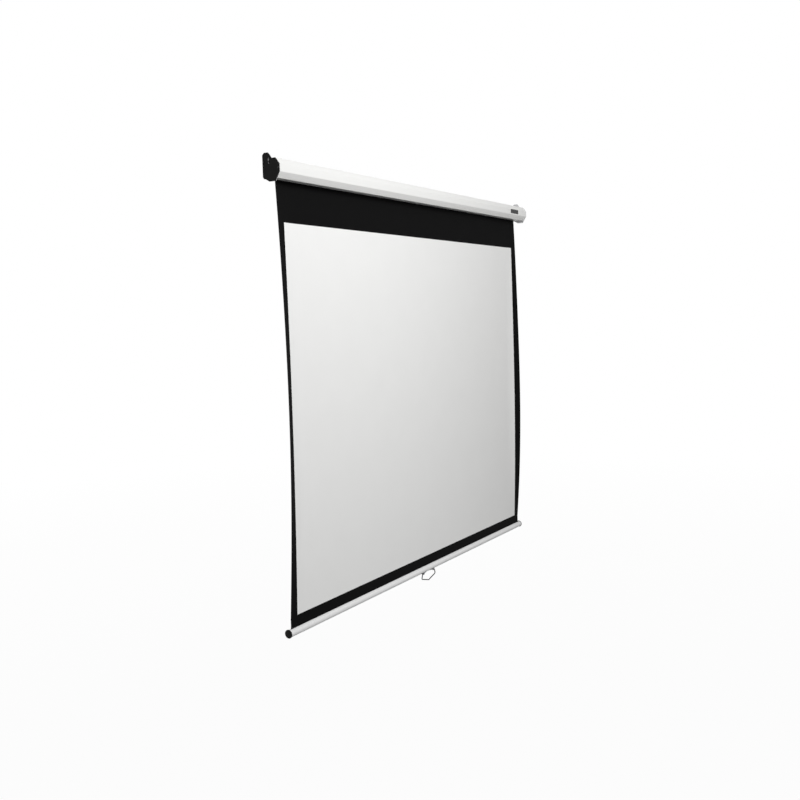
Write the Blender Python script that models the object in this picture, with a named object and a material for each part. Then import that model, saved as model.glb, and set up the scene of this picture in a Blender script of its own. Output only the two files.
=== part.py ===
# Manual pull down projector screen: wall case, spring roller, screen fabric, bar and pull handle.
# Metres. X runs along the case, the front faces -Y and Z is up. The origin is the centre of the
# case's back face, on the wall. The screen is modelled pulled right down.

import math

import bmesh
import bpy
from mathutils import Vector

# Screen fabric
PICTURE_WIDTH = 1.707
PICTURE_HEIGHT = 1.280
SIDE_BORDER = 0.036
TOP_BORDER = 0.129
BOTTOM_BORDER = 0.038
FABRIC_THICKNESS = 0.0004
FABRIC_TO_WALL = 0.016
CURL_WIDTH = 0.102
LEFT_CURL = 0.022
RIGHT_CURL = 0.0235
LEFT_CURL_SAG = 0.001
RIGHT_CURL_SAG = 0.0035
LAST_SLIVER = 0.001

# Case extrusion
CASE_DEPTH = 0.067
CASE_HEIGHT = 0.062
CASE_WALL = 0.0015
CASE_CORNER = 0.0022
TOP_CHAMFER_DEPTH = 0.016
TOP_CHAMFER_HEIGHT = 0.020
LOW_CHAMFER_DEPTH = 0.0145
LOW_CHAMFER_HEIGHT = 0.0185
SLOT_WIDTH = 0.016
PORT_RADIUS = 0.0035
PORT_BORE = 0.0018
PORT_SINK = 0.0005
PORT_RISE = 0.020

# End plates
END_SPACE = 0.0335
HANGER_THICKNESS = 0.0012
PLATE_THICKNESS = 0.0015
PLATE_DROP = 0.0095
PLATE_BEVEL = 0.0005
PLATE_REAR_CHAMFER_DEPTH = 0.025
PLATE_REAR_CHAMFER_HEIGHT = 0.0145
PLATE_LOW_EDGE = 0.017
EAR_RISE = 0.018
EAR_DEPTH = 0.0365
EAR_FRONT_SLOPE = 0.0075
EAR_CORNER = 0.007
HANG_SLOT_WIDTH = 0.006
HANG_SLOT_HEIGHT = 0.018
HANG_SLOT_TO_WALL = 0.0237
HANG_SLOT_BELOW_TOP = 0.0165
HOOK_HOLE_WIDTH = 0.0054
HOOK_HOLE_HEIGHT = 0.007
HOOK_HOLE_BELOW_SLOT_TOP = 0.0085
SCREW_RADIUS = 0.0015
SCREW_LENGTH = 0.012
SCREW_HEAD_RADIUS = 0.0032
SCREW_HEAD_HEIGHT = 0.0018

# Roller
ROLLER_RADIUS = 0.016
ROLLER_WALL = 0.001
ROLLER_OVERHANG = 0.0035
TURNS_THICKNESS = 0.0012
PLUG_DEPTH = 0.018
FLANGE_THICKNESS = 0.003

# Spring, spindle and lock
SPINDLE_RADIUS = 0.005
SPINDLE_BLADE_HEIGHT = 0.0085
SPINDLE_BLADE_THICKNESS = 0.003
BLADE_END_CLEARANCE = 0.0012
BUSH_RADIUS = 0.007
SPRING_RADIUS = 0.0085
SPRING_WIRE_RADIUS = 0.0009
SPRING_TURNS = 24
SPRING_PITCH = 0.010
ANCHOR_LENGTH = 0.012
LOCK_RADIUS = 0.0086
LOCK_THICKNESS = 0.004
LOCK_SPACE = 0.0035
NOTCH_FLOOR = math.radians(11)
NOTCH_RAMP = math.radians(16)
PAWL_PIVOT = 0.014
PAWL_REACH = 0.009
PAWL_HUB = 0.0026
PAWL_TIP = 0.0008
PAWL_LEAN = math.radians(45)
PAWL_DROP = math.radians(12)
PIN_RADIUS = 0.0012
PIN_HEAD_RADIUS = 0.002
PIN_HEAD_HEIGHT = 0.001
CLIP_RADIUS = 0.0085
CLIP_THICKNESS = 0.001
CLIP_OPENING = math.radians(60)
BRACKET_RADIUS = 0.013
BRACKET_DEPTH = 0.008
IDLER_RADIUS = 0.004
IDLER_BUSH_RADIUS = 0.006

# Bar and pull handle
BAR_RADIUS = 0.013
BAR_WALL = 0.0014
BAR_OVERHANG = 0.0125
BAR_SLOT = 0.003
BAR_CAP_RADIUS = 0.01475
BAR_CAP_FLANGE = 0.003
BAR_CAP_EASE = 0.0013
HEM_ROD_RADIUS = 0.003
HANDLE_SPAN = 0.095
HANDLE_SPLAY = 0.0075
HANDLE_SIDE_DROP = 0.019
HANDLE_DROP = 0.034
HANDLE_WIRE_RADIUS = 0.002
HANDLE_BEND = 0.003
HANDLE_CORNER = 0.005
HANDLE_BELOW_BAR = 0.0034
HANDLE_LEAN = math.radians(30)
EYE_WIDTH = 0.008
EYE_RADIUS = 0.0034
SADDLE_THICKNESS = 0.0016
SADDLE_LENGTH = 0.013
SADDLE_HALF_ANGLE = math.radians(24)
RIVET_RADIUS = 0.0014
RIVET_HEAD_RADIUS = 0.0028
RIVET_HEAD_HEIGHT = 0.0012

# Badge
BADGE_LENGTH = 0.078
BADGE_HEIGHT = 0.018
BADGE_BELOW_EDGE = 0.001
BADGE_THICKNESS = 0.0012
BADGE_FROM_CASE_END = 0.1277

# Fits
GAP = 0.0003
RUNNING = 0.0001
ROUND_SIDES = 32
FINE_SIDES = 48

# Places that follow from the sizes
FABRIC_HALF = PICTURE_WIDTH / 2 + SIDE_BORDER
DROP = TOP_BORDER + PICTURE_HEIGHT + BOTTOM_BORDER
CASE_TOP = CASE_HEIGHT / 2
CASE_BOTTOM = -CASE_HEIGHT / 2
FRONT_MIDDLE = (LOW_CHAMFER_HEIGHT - TOP_CHAMFER_HEIGHT) / 2
BAR_TOP = CASE_BOTTOM - DROP
TURNS_RADIUS = ROLLER_RADIUS + GAP + TURNS_THICKNESS
ROLLER_Y = -(FABRIC_TO_WALL + FABRIC_THICKNESS / 2 + GAP + TURNS_RADIUS)
ROLLER_Z = 0.0
ROLLER_HALF = FABRIC_HALF + ROLLER_OVERHANG
HANGER_INNER = FABRIC_HALF + END_SPACE
PLATE_INNER = HANGER_INNER + HANGER_THICKNESS + GAP
PLATE_OUTER = PLATE_INNER + PLATE_THICKNESS
CASE_HALF = HANGER_INNER - GAP
BAND_HEIGHT = ROLLER_Z - CASE_BOTTOM - LAST_SLIVER
LOCK_START = ROLLER_HALF + GAP + FLANGE_THICKNESS + LOCK_SPACE
LOCK_END = LOCK_START + LOCK_THICKNESS


def clear_scene():
    for old in list(bpy.data.objects):
        bpy.data.objects.remove(old, do_unlink=True)


def material(name, colour, roughness, metallic=0.0):
    made = bpy.data.materials.get(name) or bpy.data.materials.new(name)
    made.use_nodes = True
    surface = made.node_tree.nodes["Principled BSDF"]
    surface.inputs["Base Color"].default_value = (*colour, 1.0)
    surface.inputs["Roughness"].default_value = roughness
    surface.inputs["Metallic"].default_value = metallic
    return made


def place(name, data, finish, location=(0, 0, 0), parent=None):
    made = bpy.data.objects.new(name, data)
    bpy.context.collection.objects.link(made)
    made.location = location
    made.parent = parent
    data.materials.clear()
    data.materials.append(finish)
    return made


def axis_empty(name, location, parent=None):
    made = bpy.data.objects.new(name, None)
    bpy.context.collection.objects.link(made)
    made.empty_display_size = 0.02
    made.location = location
    made.parent = parent
    return made


def mesh_from(name, shape, smooth_angle=None):
    bmesh.ops.recalc_face_normals(shape, faces=shape.faces)
    data = bpy.data.meshes.new(name)
    shape.to_mesh(data)
    shape.free()
    if smooth_angle is not None:
        data.shade_smooth()
        data.set_sharp_from_angle(angle=smooth_angle)
    return data


def prism(name, outline, start, end, smooth_angle=None):
    # A closed outline of (y, z) points, drawn out along X.
    shape = bmesh.new()
    near = [shape.verts.new((start, y, z)) for y, z in outline]
    far = [shape.verts.new((end, y, z)) for y, z in outline]
    shape.faces.new(near)
    shape.faces.new(list(reversed(far)))
    for i in range(len(outline)):
        j = (i + 1) % len(outline)
        shape.faces.new((near[i], far[i], far[j], near[j]))
    return mesh_from(name, shape, smooth_angle)


def turned(name, profile, sides=ROUND_SIDES, upright=False):
    # A profile of (distance along the axis, radius) points, turned about X, or about Z if upright.
    shape = bmesh.new()
    if upright:
        points = [shape.verts.new((radius, 0, along)) for along, radius in profile]
        axis = (0, 0, 1)
    else:
        points = [shape.verts.new((along, 0, radius)) for along, radius in profile]
        axis = (1, 0, 0)
    pairs = list(zip(points, points[1:]))
    if min(radius for _, radius in profile) > 0:
        pairs.append((points[-1], points[0]))
    edges = [shape.edges.new(pair) for pair in pairs]
    bmesh.ops.spin(
        shape,
        geom=points + edges,
        cent=(0, 0, 0),
        axis=axis,
        angle=2 * math.pi,
        steps=sides,
        use_merge=True,
    )
    bmesh.ops.remove_doubles(shape, verts=shape.verts, dist=1e-6)
    return mesh_from(name, shape, math.radians(35))


def rod(name, start, end, radius, sides=ROUND_SIDES, upright=False):
    profile = [(start, 0.0), (start, radius), (end, radius), (end, 0.0)]
    return turned(name, profile, sides, upright)


def ring(name, start, end, inner, outer, sides=ROUND_SIDES):
    return turned(name, [(start, inner), (start, outer), (end, outer), (end, inner)], sides)


def arc(centre, radius, first, last, steps):
    return [
        (
            centre[0] + radius * math.cos(first + (last - first) * i / steps),
            centre[1] + radius * math.sin(first + (last - first) * i / steps),
        )
        for i in range(steps + 1)
    ]


def rounded(points, radius, steps=3):
    # An open path of 2-D points with each inner corner replaced by an arc.
    path = [Vector(point) for point in points]
    made = [path[0]]
    for before, corner, after in zip(path, path[1:], path[2:]):
        back = (before - corner).normalized()
        on = (after - corner).normalized()
        half = back.angle(on) / 2
        reach = radius / math.tan(half)
        centre = corner + (back + on).normalized() * (radius / math.sin(half))
        first = corner + back * reach - centre
        turn = first.angle_signed(corner + on * reach - centre)
        for i in range(steps + 1):
            angle = -turn * i / steps
            made.append(
                centre
                + Vector(
                    (
                        first.x * math.cos(angle) - first.y * math.sin(angle),
                        first.x * math.sin(angle) + first.y * math.cos(angle),
                    )
                )
            )
    made.append(path[-1])
    return made


def thickened(path, thickness):
    # A closed outline that follows an open path on both sides.
    left, right = [], []
    for i, point in enumerate(path):
        ways = []
        if i:
            ways.append((point - path[i - 1]).normalized())
        if i < len(path) - 1:
            ways.append((path[i + 1] - point).normalized())
        way = sum(ways, Vector((0, 0))).normalized()
        side = Vector((-way.y, way.x)) * (thickness / 2 / way.dot(ways[0]))
        left.append(point + side)
        right.append(point - side)
    return [tuple(point) for point in left + right[::-1]]


def cutter(name, data, location=(0, 0, 0), parent=None):
    made = place(name, data, material("guide", (0.5, 0.5, 0.5), 0.5), location, parent)
    made.hide_render = True
    made.display_type = "WIRE"
    return made


def boolean(target, other, operation):
    change = target.modifiers.new(other.name, "BOOLEAN")
    change.operation = operation
    change.solver = "EXACT"
    change.object = other


def wire(name, points, radius, resolution):
    data = bpy.data.curves.new(name, "CURVE")
    data.dimensions = "3D"
    data.bevel_depth = radius
    data.bevel_resolution = resolution
    data.use_fill_caps = True
    line = data.splines.new("POLY")
    line.points.add(len(points) - 1)
    for spot, point in zip(line.points, points):
        spot.co = (*point, 1.0)
    return data


WHITE = material("white_paint", (0.86, 0.86, 0.85), 0.35, 0.0)
BLACK = material("black_plastic", (0.012, 0.012, 0.012), 0.45)
SCREW_BLACK = material("black_screw", (0.02, 0.02, 0.02), 0.35, 0.6)
SILVER = material("satin_aluminium", (0.80, 0.80, 0.81), 0.32, 0.9)
STEEL = material("bright_steel", (0.55, 0.56, 0.58), 0.3, 1.0)
WIRE_STEEL = material("dark_steel_wire", (0.16, 0.16, 0.165), 0.4, 0.8)
MATTE_WHITE = material("matte_white_fabric", (0.90, 0.90, 0.89), 0.9)
MATTE_BLACK = material("black_fabric", (0.012, 0.012, 0.012), 0.9)
NYLON = material("white_nylon", (0.75, 0.74, 0.70), 0.5)
GREY_PLASTIC = material("grey_plastic", (0.18, 0.18, 0.185), 0.5)
BADGE_BLACK = material("badge_black", (0.03, 0.03, 0.032), 0.3)


# Case


def case_path():
    # The middle line of the case's wall, from the slot's front lip round to its rear lip.
    half = CASE_WALL / 2
    front = -(CASE_DEPTH - half)
    top = CASE_TOP - half
    bottom = CASE_BOTTOM + half
    return [
        (-(FABRIC_TO_WALL + SLOT_WIDTH / 2), bottom),
        (-(CASE_DEPTH - LOW_CHAMFER_DEPTH), bottom),
        (front, CASE_BOTTOM + LOW_CHAMFER_HEIGHT),
        (front, CASE_TOP - TOP_CHAMFER_HEIGHT),
        (-(CASE_DEPTH - TOP_CHAMFER_DEPTH), top),
        (-half, top),
        (-half, bottom),
        (-(FABRIC_TO_WALL - SLOT_WIDTH / 2), bottom),
    ]


def screw_places():
    inset = CASE_WALL + PORT_RADIUS - PORT_SINK
    return {
        "upper": (-inset, PORT_RISE),
        "lower": (-inset, -PORT_RISE),
        "front": (-CASE_DEPTH + inset, FRONT_MIDDLE),
    }


def build_case():
    outline = thickened(rounded(case_path(), CASE_CORNER), CASE_WALL)
    shell = place(
        "case_shell",
        prism("case_shell", outline, -CASE_HALF, CASE_HALF, math.radians(30)),
        WHITE,
    )
    for spot, (y, z) in screw_places().items():
        port = cutter(
            f"{spot}_port_guide",
            rod("port", -CASE_HALF, CASE_HALF, PORT_RADIUS, 16),
            (0, y, z),
        )
        boolean(shell, port, "UNION")
        bore = cutter(
            f"{spot}_bore_guide",
            rod("bore", -CASE_HALF - GAP, CASE_HALF + GAP, PORT_BORE, 12),
            (0, y, z),
        )
        boolean(shell, bore, "DIFFERENCE")


# End plates


def plate_outline():
    bottom = CASE_BOTTOM - PLATE_DROP
    ear_top = CASE_TOP + EAR_RISE
    return [
        (0, bottom + PLATE_REAR_CHAMFER_HEIGHT),
        (-PLATE_REAR_CHAMFER_DEPTH, bottom),
        (-(CASE_DEPTH - PLATE_LOW_EDGE), bottom),
        (-CASE_DEPTH, CASE_BOTTOM + LOW_CHAMFER_HEIGHT),
        (-CASE_DEPTH, CASE_TOP - TOP_CHAMFER_HEIGHT),
        (-(CASE_DEPTH - TOP_CHAMFER_DEPTH), CASE_TOP),
        (-EAR_DEPTH, CASE_TOP),
        (-(EAR_DEPTH - EAR_FRONT_SLOPE), ear_top - EAR_CORNER),
        (-(EAR_DEPTH - EAR_FRONT_SLOPE - EAR_CORNER), ear_top),
        (-EAR_CORNER, ear_top),
        (0, ear_top - EAR_CORNER),
    ]


def upright_slot(top, width, height):
    # The slot's outline on the plate, its round ends included.
    radius = width / 2
    upper = (-HANG_SLOT_TO_WALL, top - radius)
    lower = (-HANG_SLOT_TO_WALL, top - height + radius)
    return arc(upper, radius, 0, math.pi, 8) + arc(lower, radius, math.pi, 2 * math.pi, 8)


def screw_mesh():
    # The head's underside is at 0 and the thread runs to +X.
    edge = SCREW_HEAD_RADIUS - SCREW_HEAD_HEIGHT / 2
    return turned(
        "screw",
        [
            (-SCREW_HEAD_HEIGHT, 0.0),
            (-SCREW_HEAD_HEIGHT, edge),
            (-SCREW_HEAD_HEIGHT / 2, SCREW_HEAD_RADIUS),
            (0.0, SCREW_HEAD_RADIUS),
            (0.0, SCREW_RADIUS),
            (SCREW_LENGTH, SCREW_RADIUS),
            (SCREW_LENGTH, 0.0),
        ],
        16,
    )


def flat_plate(name, first, last, finish):
    return place(name, prism(name, plate_outline(), min(first, last), max(first, last)), finish)


def build_end(side, sign):
    # A steel hanger plate carries the case, and a plastic plate of the same outline covers it.
    # The plastic plate's slot shows the steel, which has a shorter hole for the wall's hook.
    outer = sign * PLATE_OUTER
    hanger = flat_plate(
        f"{side}_hanger_plate",
        sign * HANGER_INNER,
        sign * (HANGER_INNER + HANGER_THICKNESS),
        STEEL,
    )
    plate = flat_plate(f"{side}_end_plate", sign * PLATE_INNER, outer, BLACK)
    edges = plate.modifiers.new("eased_edges", "BEVEL")
    edges.width = PLATE_BEVEL
    edges.segments = 1
    edges.limit_method = "ANGLE"
    edges.angle_limit = math.radians(60)
    reach = PLATE_OUTER - HANGER_INNER
    slot_top = CASE_TOP + EAR_RISE - HANG_SLOT_BELOW_TOP
    slot_outline = upright_slot(slot_top, HANG_SLOT_WIDTH, HANG_SLOT_HEIGHT)
    slot = cutter(
        f"{side}_hang_slot_guide",
        prism("hang_slot", slot_outline, -reach, reach),
        (sign * PLATE_INNER, 0, 0),
    )
    boolean(plate, slot, "DIFFERENCE")
    hole_top = slot_top - HOOK_HOLE_BELOW_SLOT_TOP
    hole_outline = upright_slot(hole_top, HOOK_HOLE_WIDTH, HOOK_HOLE_HEIGHT)
    hook_hole = cutter(
        f"{side}_hook_hole_guide",
        prism("hook_hole", hole_outline, -reach, reach),
        (sign * HANGER_INNER, 0, 0),
    )
    boolean(hanger, hook_hole, "DIFFERENCE")
    for spot, (y, z) in screw_places().items():
        hole = cutter(
            f"{side}_{spot}_hole_guide",
            rod("screw_hole", -reach, reach, SCREW_RADIUS + GAP, 16),
            (sign * PLATE_INNER, y, z),
        )
        boolean(hanger, hole, "DIFFERENCE")
        boolean(plate, hole, "DIFFERENCE")
        screw = place(
            f"{side}_{spot}_screw",
            screw_mesh(),
            SCREW_BLACK,
            (outer + sign * GAP, y, z),
        )
        if sign > 0:
            screw.rotation_euler.z = math.pi


# Roller


def build_roller(axis):
    place(
        "roller_tube",
        ring("roller_tube", -ROLLER_HALF, ROLLER_HALF, ROLLER_RADIUS - ROLLER_WALL, ROLLER_RADIUS),
        SILVER,
        parent=axis,
    )
    place(
        "fabric_turns",
        ring(
            "fabric_turns",
            -FABRIC_HALF,
            FABRIC_HALF,
            ROLLER_RADIUS + GAP,
            TURNS_RADIUS,
            FINE_SIDES,
        ),
        MATTE_BLACK,
        parent=axis,
    )


def plug_profile(bore):
    # From the plug's inner end, at +X, out past the end of the tube to the flange.
    body = ROLLER_RADIUS - ROLLER_WALL - GAP
    face = -(GAP + FLANGE_THICKNESS)
    return [
        (PLUG_DEPTH, bore),
        (PLUG_DEPTH, body),
        (-GAP, body),
        (-GAP, TURNS_RADIUS),
        (face, TURNS_RADIUS),
        (face, bore),
    ]


def build_spring_end(axis):
    end = axis_empty("spring_end", (-ROLLER_HALF, 0, 0), axis)
    plug = place(
        "spring_plug",
        turned("spring_plug", plug_profile(BUSH_RADIUS + GAP)),
        BLACK,
        parent=end,
    )
    place(
        "spindle_bush",
        ring(
            "spindle_bush",
            -(GAP + FLANGE_THICKNESS),
            PLUG_DEPTH,
            SPINDLE_RADIUS + RUNNING,
            BUSH_RADIUS,
        ),
        NYLON,
        parent=end,
    )
    for side, sign in (("upper", 1), ("lower", -1)):
        pin_hole = cutter(
            f"{side}_pin_hole_guide",
            rod("pin_hole", -(FLANGE_THICKNESS + 2 * GAP), GAP, PIN_RADIUS + GAP, 16),
            (0, 0, sign * PAWL_PIVOT),
            end,
        )
        boolean(plug, pin_hole, "DIFFERENCE")


def lock_outline():
    # Two notches, half a turn apart, each shaped round the tip of its dropped pawl.
    drop = math.pi + PAWL_LEAN + PAWL_DROP
    tip_y = PAWL_REACH * math.cos(drop)
    tip_z = PAWL_PIVOT + PAWL_REACH * math.sin(drop)
    tip = math.atan2(tip_z, tip_y)
    reach = math.hypot(tip_y, tip_z)
    floor = reach - PAWL_TIP - 2 * GAP
    steep = tip + math.asin((PAWL_TIP + 2 * GAP) / reach)
    ramp_end = tip - NOTCH_FLOOR
    ramp_start = ramp_end - NOTCH_RAMP
    centre = (0.0, 0.0)
    outline = []
    for turn in (0, math.pi):
        outline += arc(centre, floor, ramp_end + turn, steep + turn, 4)
        outline += arc(centre, LOCK_RADIUS, steep + turn, ramp_start + turn + math.pi, 12)
    return outline


def pawl_outline():
    # A round hub and a small round tip with straight flanks, pointing along its lean.
    lean = math.pi + PAWL_LEAN
    flank = math.acos((PAWL_HUB - PAWL_TIP) / PAWL_REACH)
    hub = arc((0, 0), PAWL_HUB, lean + flank, lean + 2 * math.pi - flank, 10)
    tip_centre = (PAWL_REACH * math.cos(lean), PAWL_REACH * math.sin(lean))
    tip = arc(tip_centre, PAWL_TIP, lean - flank, lean + flank, 6)
    return hub + tip


def build_lock(axis):
    wheel = place(
        "lock_wheel",
        prism("lock_wheel", lock_outline(), -LOCK_END, -LOCK_START, math.radians(30)),
        STEEL,
        (0, ROLLER_Y, ROLLER_Z),
    )
    bore = cutter(
        "lock_bore_guide",
        rod("lock_bore", -LOCK_END - GAP, -LOCK_START + GAP, SPINDLE_RADIUS + GAP, 24),
        (0, ROLLER_Y, ROLLER_Z),
    )
    boolean(wheel, bore, "DIFFERENCE")
    for side, sign in (("upper", 1), ("lower", -1)):
        pivot = axis_empty(f"{side}_pawl_pivot", (0, 0, sign * PAWL_PIVOT), axis)
        outline = [(sign * y, sign * z) for y, z in pawl_outline()]
        pawl = place(
            f"{side}_pawl",
            prism(f"{side}_pawl", outline, -LOCK_END, -LOCK_START, math.radians(30)),
            STEEL,
            parent=pivot,
        )
        hole = cutter(
            f"{side}_pawl_hole_guide",
            rod("pawl_hole", -LOCK_END - GAP, -LOCK_START + GAP, PIN_RADIUS + RUNNING, 16),
            parent=pivot,
        )
        boolean(pawl, hole, "DIFFERENCE")
        head = -(LOCK_END + GAP)
        place(
            f"{side}_pawl_pin",
            turned(
                f"{side}_pawl_pin",
                [
                    (head - PIN_HEAD_HEIGHT, 0.0),
                    (head - PIN_HEAD_HEIGHT, PIN_HEAD_RADIUS),
                    (head, PIN_HEAD_RADIUS),
                    (head, PIN_RADIUS),
                    (-(ROLLER_HALF + 2 * GAP), PIN_RADIUS),
                    (-(ROLLER_HALF + 2 * GAP), 0.0),
                ],
                16,
            ),
            STEEL,
            (0, 0, sign * PAWL_PIVOT),
            axis,
        )


def spring_start():
    return -(ROLLER_HALF - PLUG_DEPTH) + 2 * SPRING_WIRE_RADIUS


def spring_end():
    return spring_start() + SPRING_TURNS * SPRING_PITCH


def spring_points(per_turn=8):
    points = []
    for i in range(SPRING_TURNS * per_turn + 1):
        angle = 2 * math.pi * i / per_turn
        along = spring_start() + SPRING_PITCH * i / per_turn
        points.append((along, SPRING_RADIUS * math.cos(angle), SPRING_RADIUS * math.sin(angle)))
    return points


def least_gap(points, radius, apart):
    # The clear space between a tube's own turns, measured between its points.
    nearest = min(
        (Vector(a) - Vector(b)).length for i, a in enumerate(points) for b in points[i + apart :]
    )
    return nearest - 2 * radius


def build_spindle():
    centre = (0, ROLLER_Y, ROLLER_Z)
    shoulder = -(LOCK_END + GAP + CLIP_THICKNESS + 4 * GAP)
    blade_end = -(HANGER_INNER - BLADE_END_CLEARANCE)
    spindle = place(
        "spindle",
        rod("spindle", shoulder, spring_end() - SPRING_PITCH / 2, SPINDLE_RADIUS),
        STEEL,
        centre,
    )
    half_height = SPINDLE_BLADE_HEIGHT / 2
    half_thickness = SPINDLE_BLADE_THICKNESS / 2
    blade_outline = [
        (-half_thickness, -half_height),
        (half_thickness, -half_height),
        (half_thickness, half_height),
        (-half_thickness, half_height),
    ]
    blade = cutter(
        "blade_guide",
        prism("blade", blade_outline, blade_end, shoulder + 4 * GAP),
        centre,
    )
    boolean(spindle, blade, "UNION")
    clip_start = -(LOCK_END + GAP + CLIP_THICKNESS)
    opening = CLIP_OPENING / 2
    outer = arc((0, 0), CLIP_RADIUS, opening, 2 * math.pi - opening, 20)
    inner = arc((0, 0), SPINDLE_RADIUS + GAP, 2 * math.pi - opening, opening, 20)
    place(
        "spindle_clip",
        prism("spindle_clip", outer + inner, clip_start, clip_start + CLIP_THICKNESS, math.radians(30)),
        STEEL,
        centre,
    )
    coil = spring_points()
    place("torsion_spring", wire("torsion_spring", coil, SPRING_WIRE_RADIUS, 1), STEEL, centre)
    print("torsion spring: least gap between turns", least_gap(coil, SPRING_WIRE_RADIUS, 4))
    bracket = place(
        "spring_bracket",
        rod("spring_bracket", -CASE_HALF, -(CASE_HALF - BRACKET_DEPTH), BRACKET_RADIUS),
        GREY_PLASTIC,
        centre,
    )
    hollow = [(y + math.copysign(GAP, y), z + math.copysign(GAP, z)) for y, z in blade_outline]
    socket = cutter(
        "blade_socket_guide",
        prism("blade_socket", hollow, -(CASE_HALF + GAP), -(CASE_HALF - BRACKET_DEPTH - GAP)),
        centre,
    )
    boolean(bracket, socket, "DIFFERENCE")


def build_anchor(axis):
    start = spring_end() + SPRING_WIRE_RADIUS + GAP
    place(
        "spring_anchor",
        rod("spring_anchor", start, start + ANCHOR_LENGTH, ROLLER_RADIUS - ROLLER_WALL - GAP),
        BLACK,
        parent=axis,
    )


def build_idler_end(axis):
    end = axis_empty("idler_end", (ROLLER_HALF, 0, 0), axis)
    profile = [(-along, radius) for along, radius in plug_profile(IDLER_RADIUS + GAP)]
    place("idler_plug", turned("idler_plug", profile), BLACK, parent=end)
    place(
        "idler_pin",
        rod("idler_pin", -PLUG_DEPTH, HANGER_INNER - BLADE_END_CLEARANCE - ROLLER_HALF, IDLER_RADIUS),
        STEEL,
        parent=end,
    )
    centre = (0, ROLLER_Y, ROLLER_Z)
    start = CASE_HALF - BRACKET_DEPTH
    place(
        "idler_bracket",
        ring("idler_bracket", start, CASE_HALF, IDLER_BUSH_RADIUS + GAP, BRACKET_RADIUS),
        GREY_PLASTIC,
        centre,
    )
    place(
        "idler_bush",
        ring("idler_bush", start, CASE_HALF, IDLER_RADIUS + RUNNING, IDLER_BUSH_RADIUS),
        NYLON,
        centre,
    )


# Fabric


def cloth(name, stations, rows, spot):
    # A thin closed solid: spot(across, down) is the middle of the fabric, with across the flat
    # distance from its middle line and down running from 0 to 1.
    shape = bmesh.new()
    half = Vector((0, FABRIC_THICKNESS / 2, 0))
    columns = len(stations) - 1
    front, back = [], []
    for j in range(rows + 1):
        line = [spot(across, j / rows) for across in stations]
        front.append([shape.verts.new(point - half) for point in line])
        back.append([shape.verts.new(point + half) for point in line])
    for j in range(rows):
        for i in range(columns):
            shape.faces.new((front[j][i], front[j][i + 1], front[j + 1][i + 1], front[j + 1][i]))
            shape.faces.new((back[j][i], back[j + 1][i], back[j + 1][i + 1], back[j][i + 1]))
    for row in (0, rows):
        for i in range(columns):
            shape.faces.new((front[row][i], back[row][i], back[row][i + 1], front[row][i + 1]))
    for column in (0, columns):
        for j in range(rows):
            shape.faces.new(
                (front[j][column], front[j + 1][column], back[j + 1][column], back[j][column])
            )
    return mesh_from(name, shape, math.radians(40))


def sheet_spot(across, down):
    # The sheet hangs flat, and its two side edges curl forward between roller and bar.
    length = ROLLER_Z - BAR_TOP - BAND_HEIGHT - GAP
    curl, sag = (LEFT_CURL, LEFT_CURL_SAG) if across < 0 else (RIGHT_CURL, RIGHT_CURL_SAG)
    lift = curl * 4 * down * (1 - down) - sag * math.sin(2 * math.pi * down)
    into = max(0.0, 1 - (FABRIC_HALF - abs(across)) / CURL_WIDTH)
    drawn_in = 2 / 3 * lift**2 / CURL_WIDTH * into**3
    x = across - math.copysign(drawn_in, across)
    return Vector((x, -lift * into**2, -length * down))


def sheet_stations():
    # Closer together in the curled edges.
    steps = 5
    edge = [FABRIC_HALF - CURL_WIDTH * i / steps for i in range(steps + 1)]
    return [-across for across in edge] + edge[::-1]


def build_fabric(bar_axis):
    place(
        "screen_fabric",
        cloth("screen_fabric", sheet_stations(), 28, sheet_spot),
        MATTE_WHITE,
        (0, -FABRIC_TO_WALL, ROLLER_Z),
    )
    rod_top = BAR_RADIUS - BAR_WALL - GAP
    band_foot = rod_top + GAP
    band_top = BAR_RADIUS + BAND_HEIGHT
    place(
        "lower_fabric_band",
        cloth(
            "lower_fabric_band",
            [-FABRIC_HALF, FABRIC_HALF],
            1,
            lambda across, down: Vector((across, 0, band_top + (band_foot - band_top) * down)),
        ),
        MATTE_BLACK,
        parent=bar_axis,
    )
    place(
        "hem_rod",
        rod("hem_rod", -FABRIC_HALF, FABRIC_HALF, HEM_ROD_RADIUS, 16),
        NYLON,
        (0, 0, rod_top - HEM_ROD_RADIUS),
        bar_axis,
    )


# Bar and pull handle


def bar_outline():
    inner_radius = BAR_RADIUS - BAR_WALL
    outer_edge = math.asin(BAR_SLOT / 2 / BAR_RADIUS)
    inner_edge = math.asin(BAR_SLOT / 2 / inner_radius)
    top = math.pi / 2
    around = 2 * math.pi
    outer = arc((0, 0), BAR_RADIUS, top + outer_edge, top + around - outer_edge, 40)
    inner = arc((0, 0), inner_radius, top + around - inner_edge, top + inner_edge, 40)
    return outer + inner


def eye_places():
    eye = HANDLE_SPAN / 2 - HANDLE_BEND - GAP - EYE_WIDTH / 2
    rivet = eye - EYE_WIDTH / 2 - SADDLE_LENGTH / 2
    return eye, rivet


def eye_outline():
    pivot = -(BAR_RADIUS + HANDLE_BELOW_BAR)
    seat = BAR_RADIUS + GAP
    half = math.asin(EYE_RADIUS / seat)
    under = -math.pi / 2
    return arc((0, 0), seat, under - half, under + half, 6) + arc(
        (0, pivot), EYE_RADIUS, 0, -math.pi, 10
    )


def saddle_outline():
    under = -math.pi / 2
    seat = BAR_RADIUS + GAP
    inner = arc((0, 0), seat, under - SADDLE_HALF_ANGLE, under + SADDLE_HALF_ANGLE, 8)
    outer = arc(
        (0, 0),
        seat + SADDLE_THICKNESS,
        under + SADDLE_HALF_ANGLE,
        under - SADDLE_HALF_ANGLE,
        8,
    )
    return inner + outer


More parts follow.
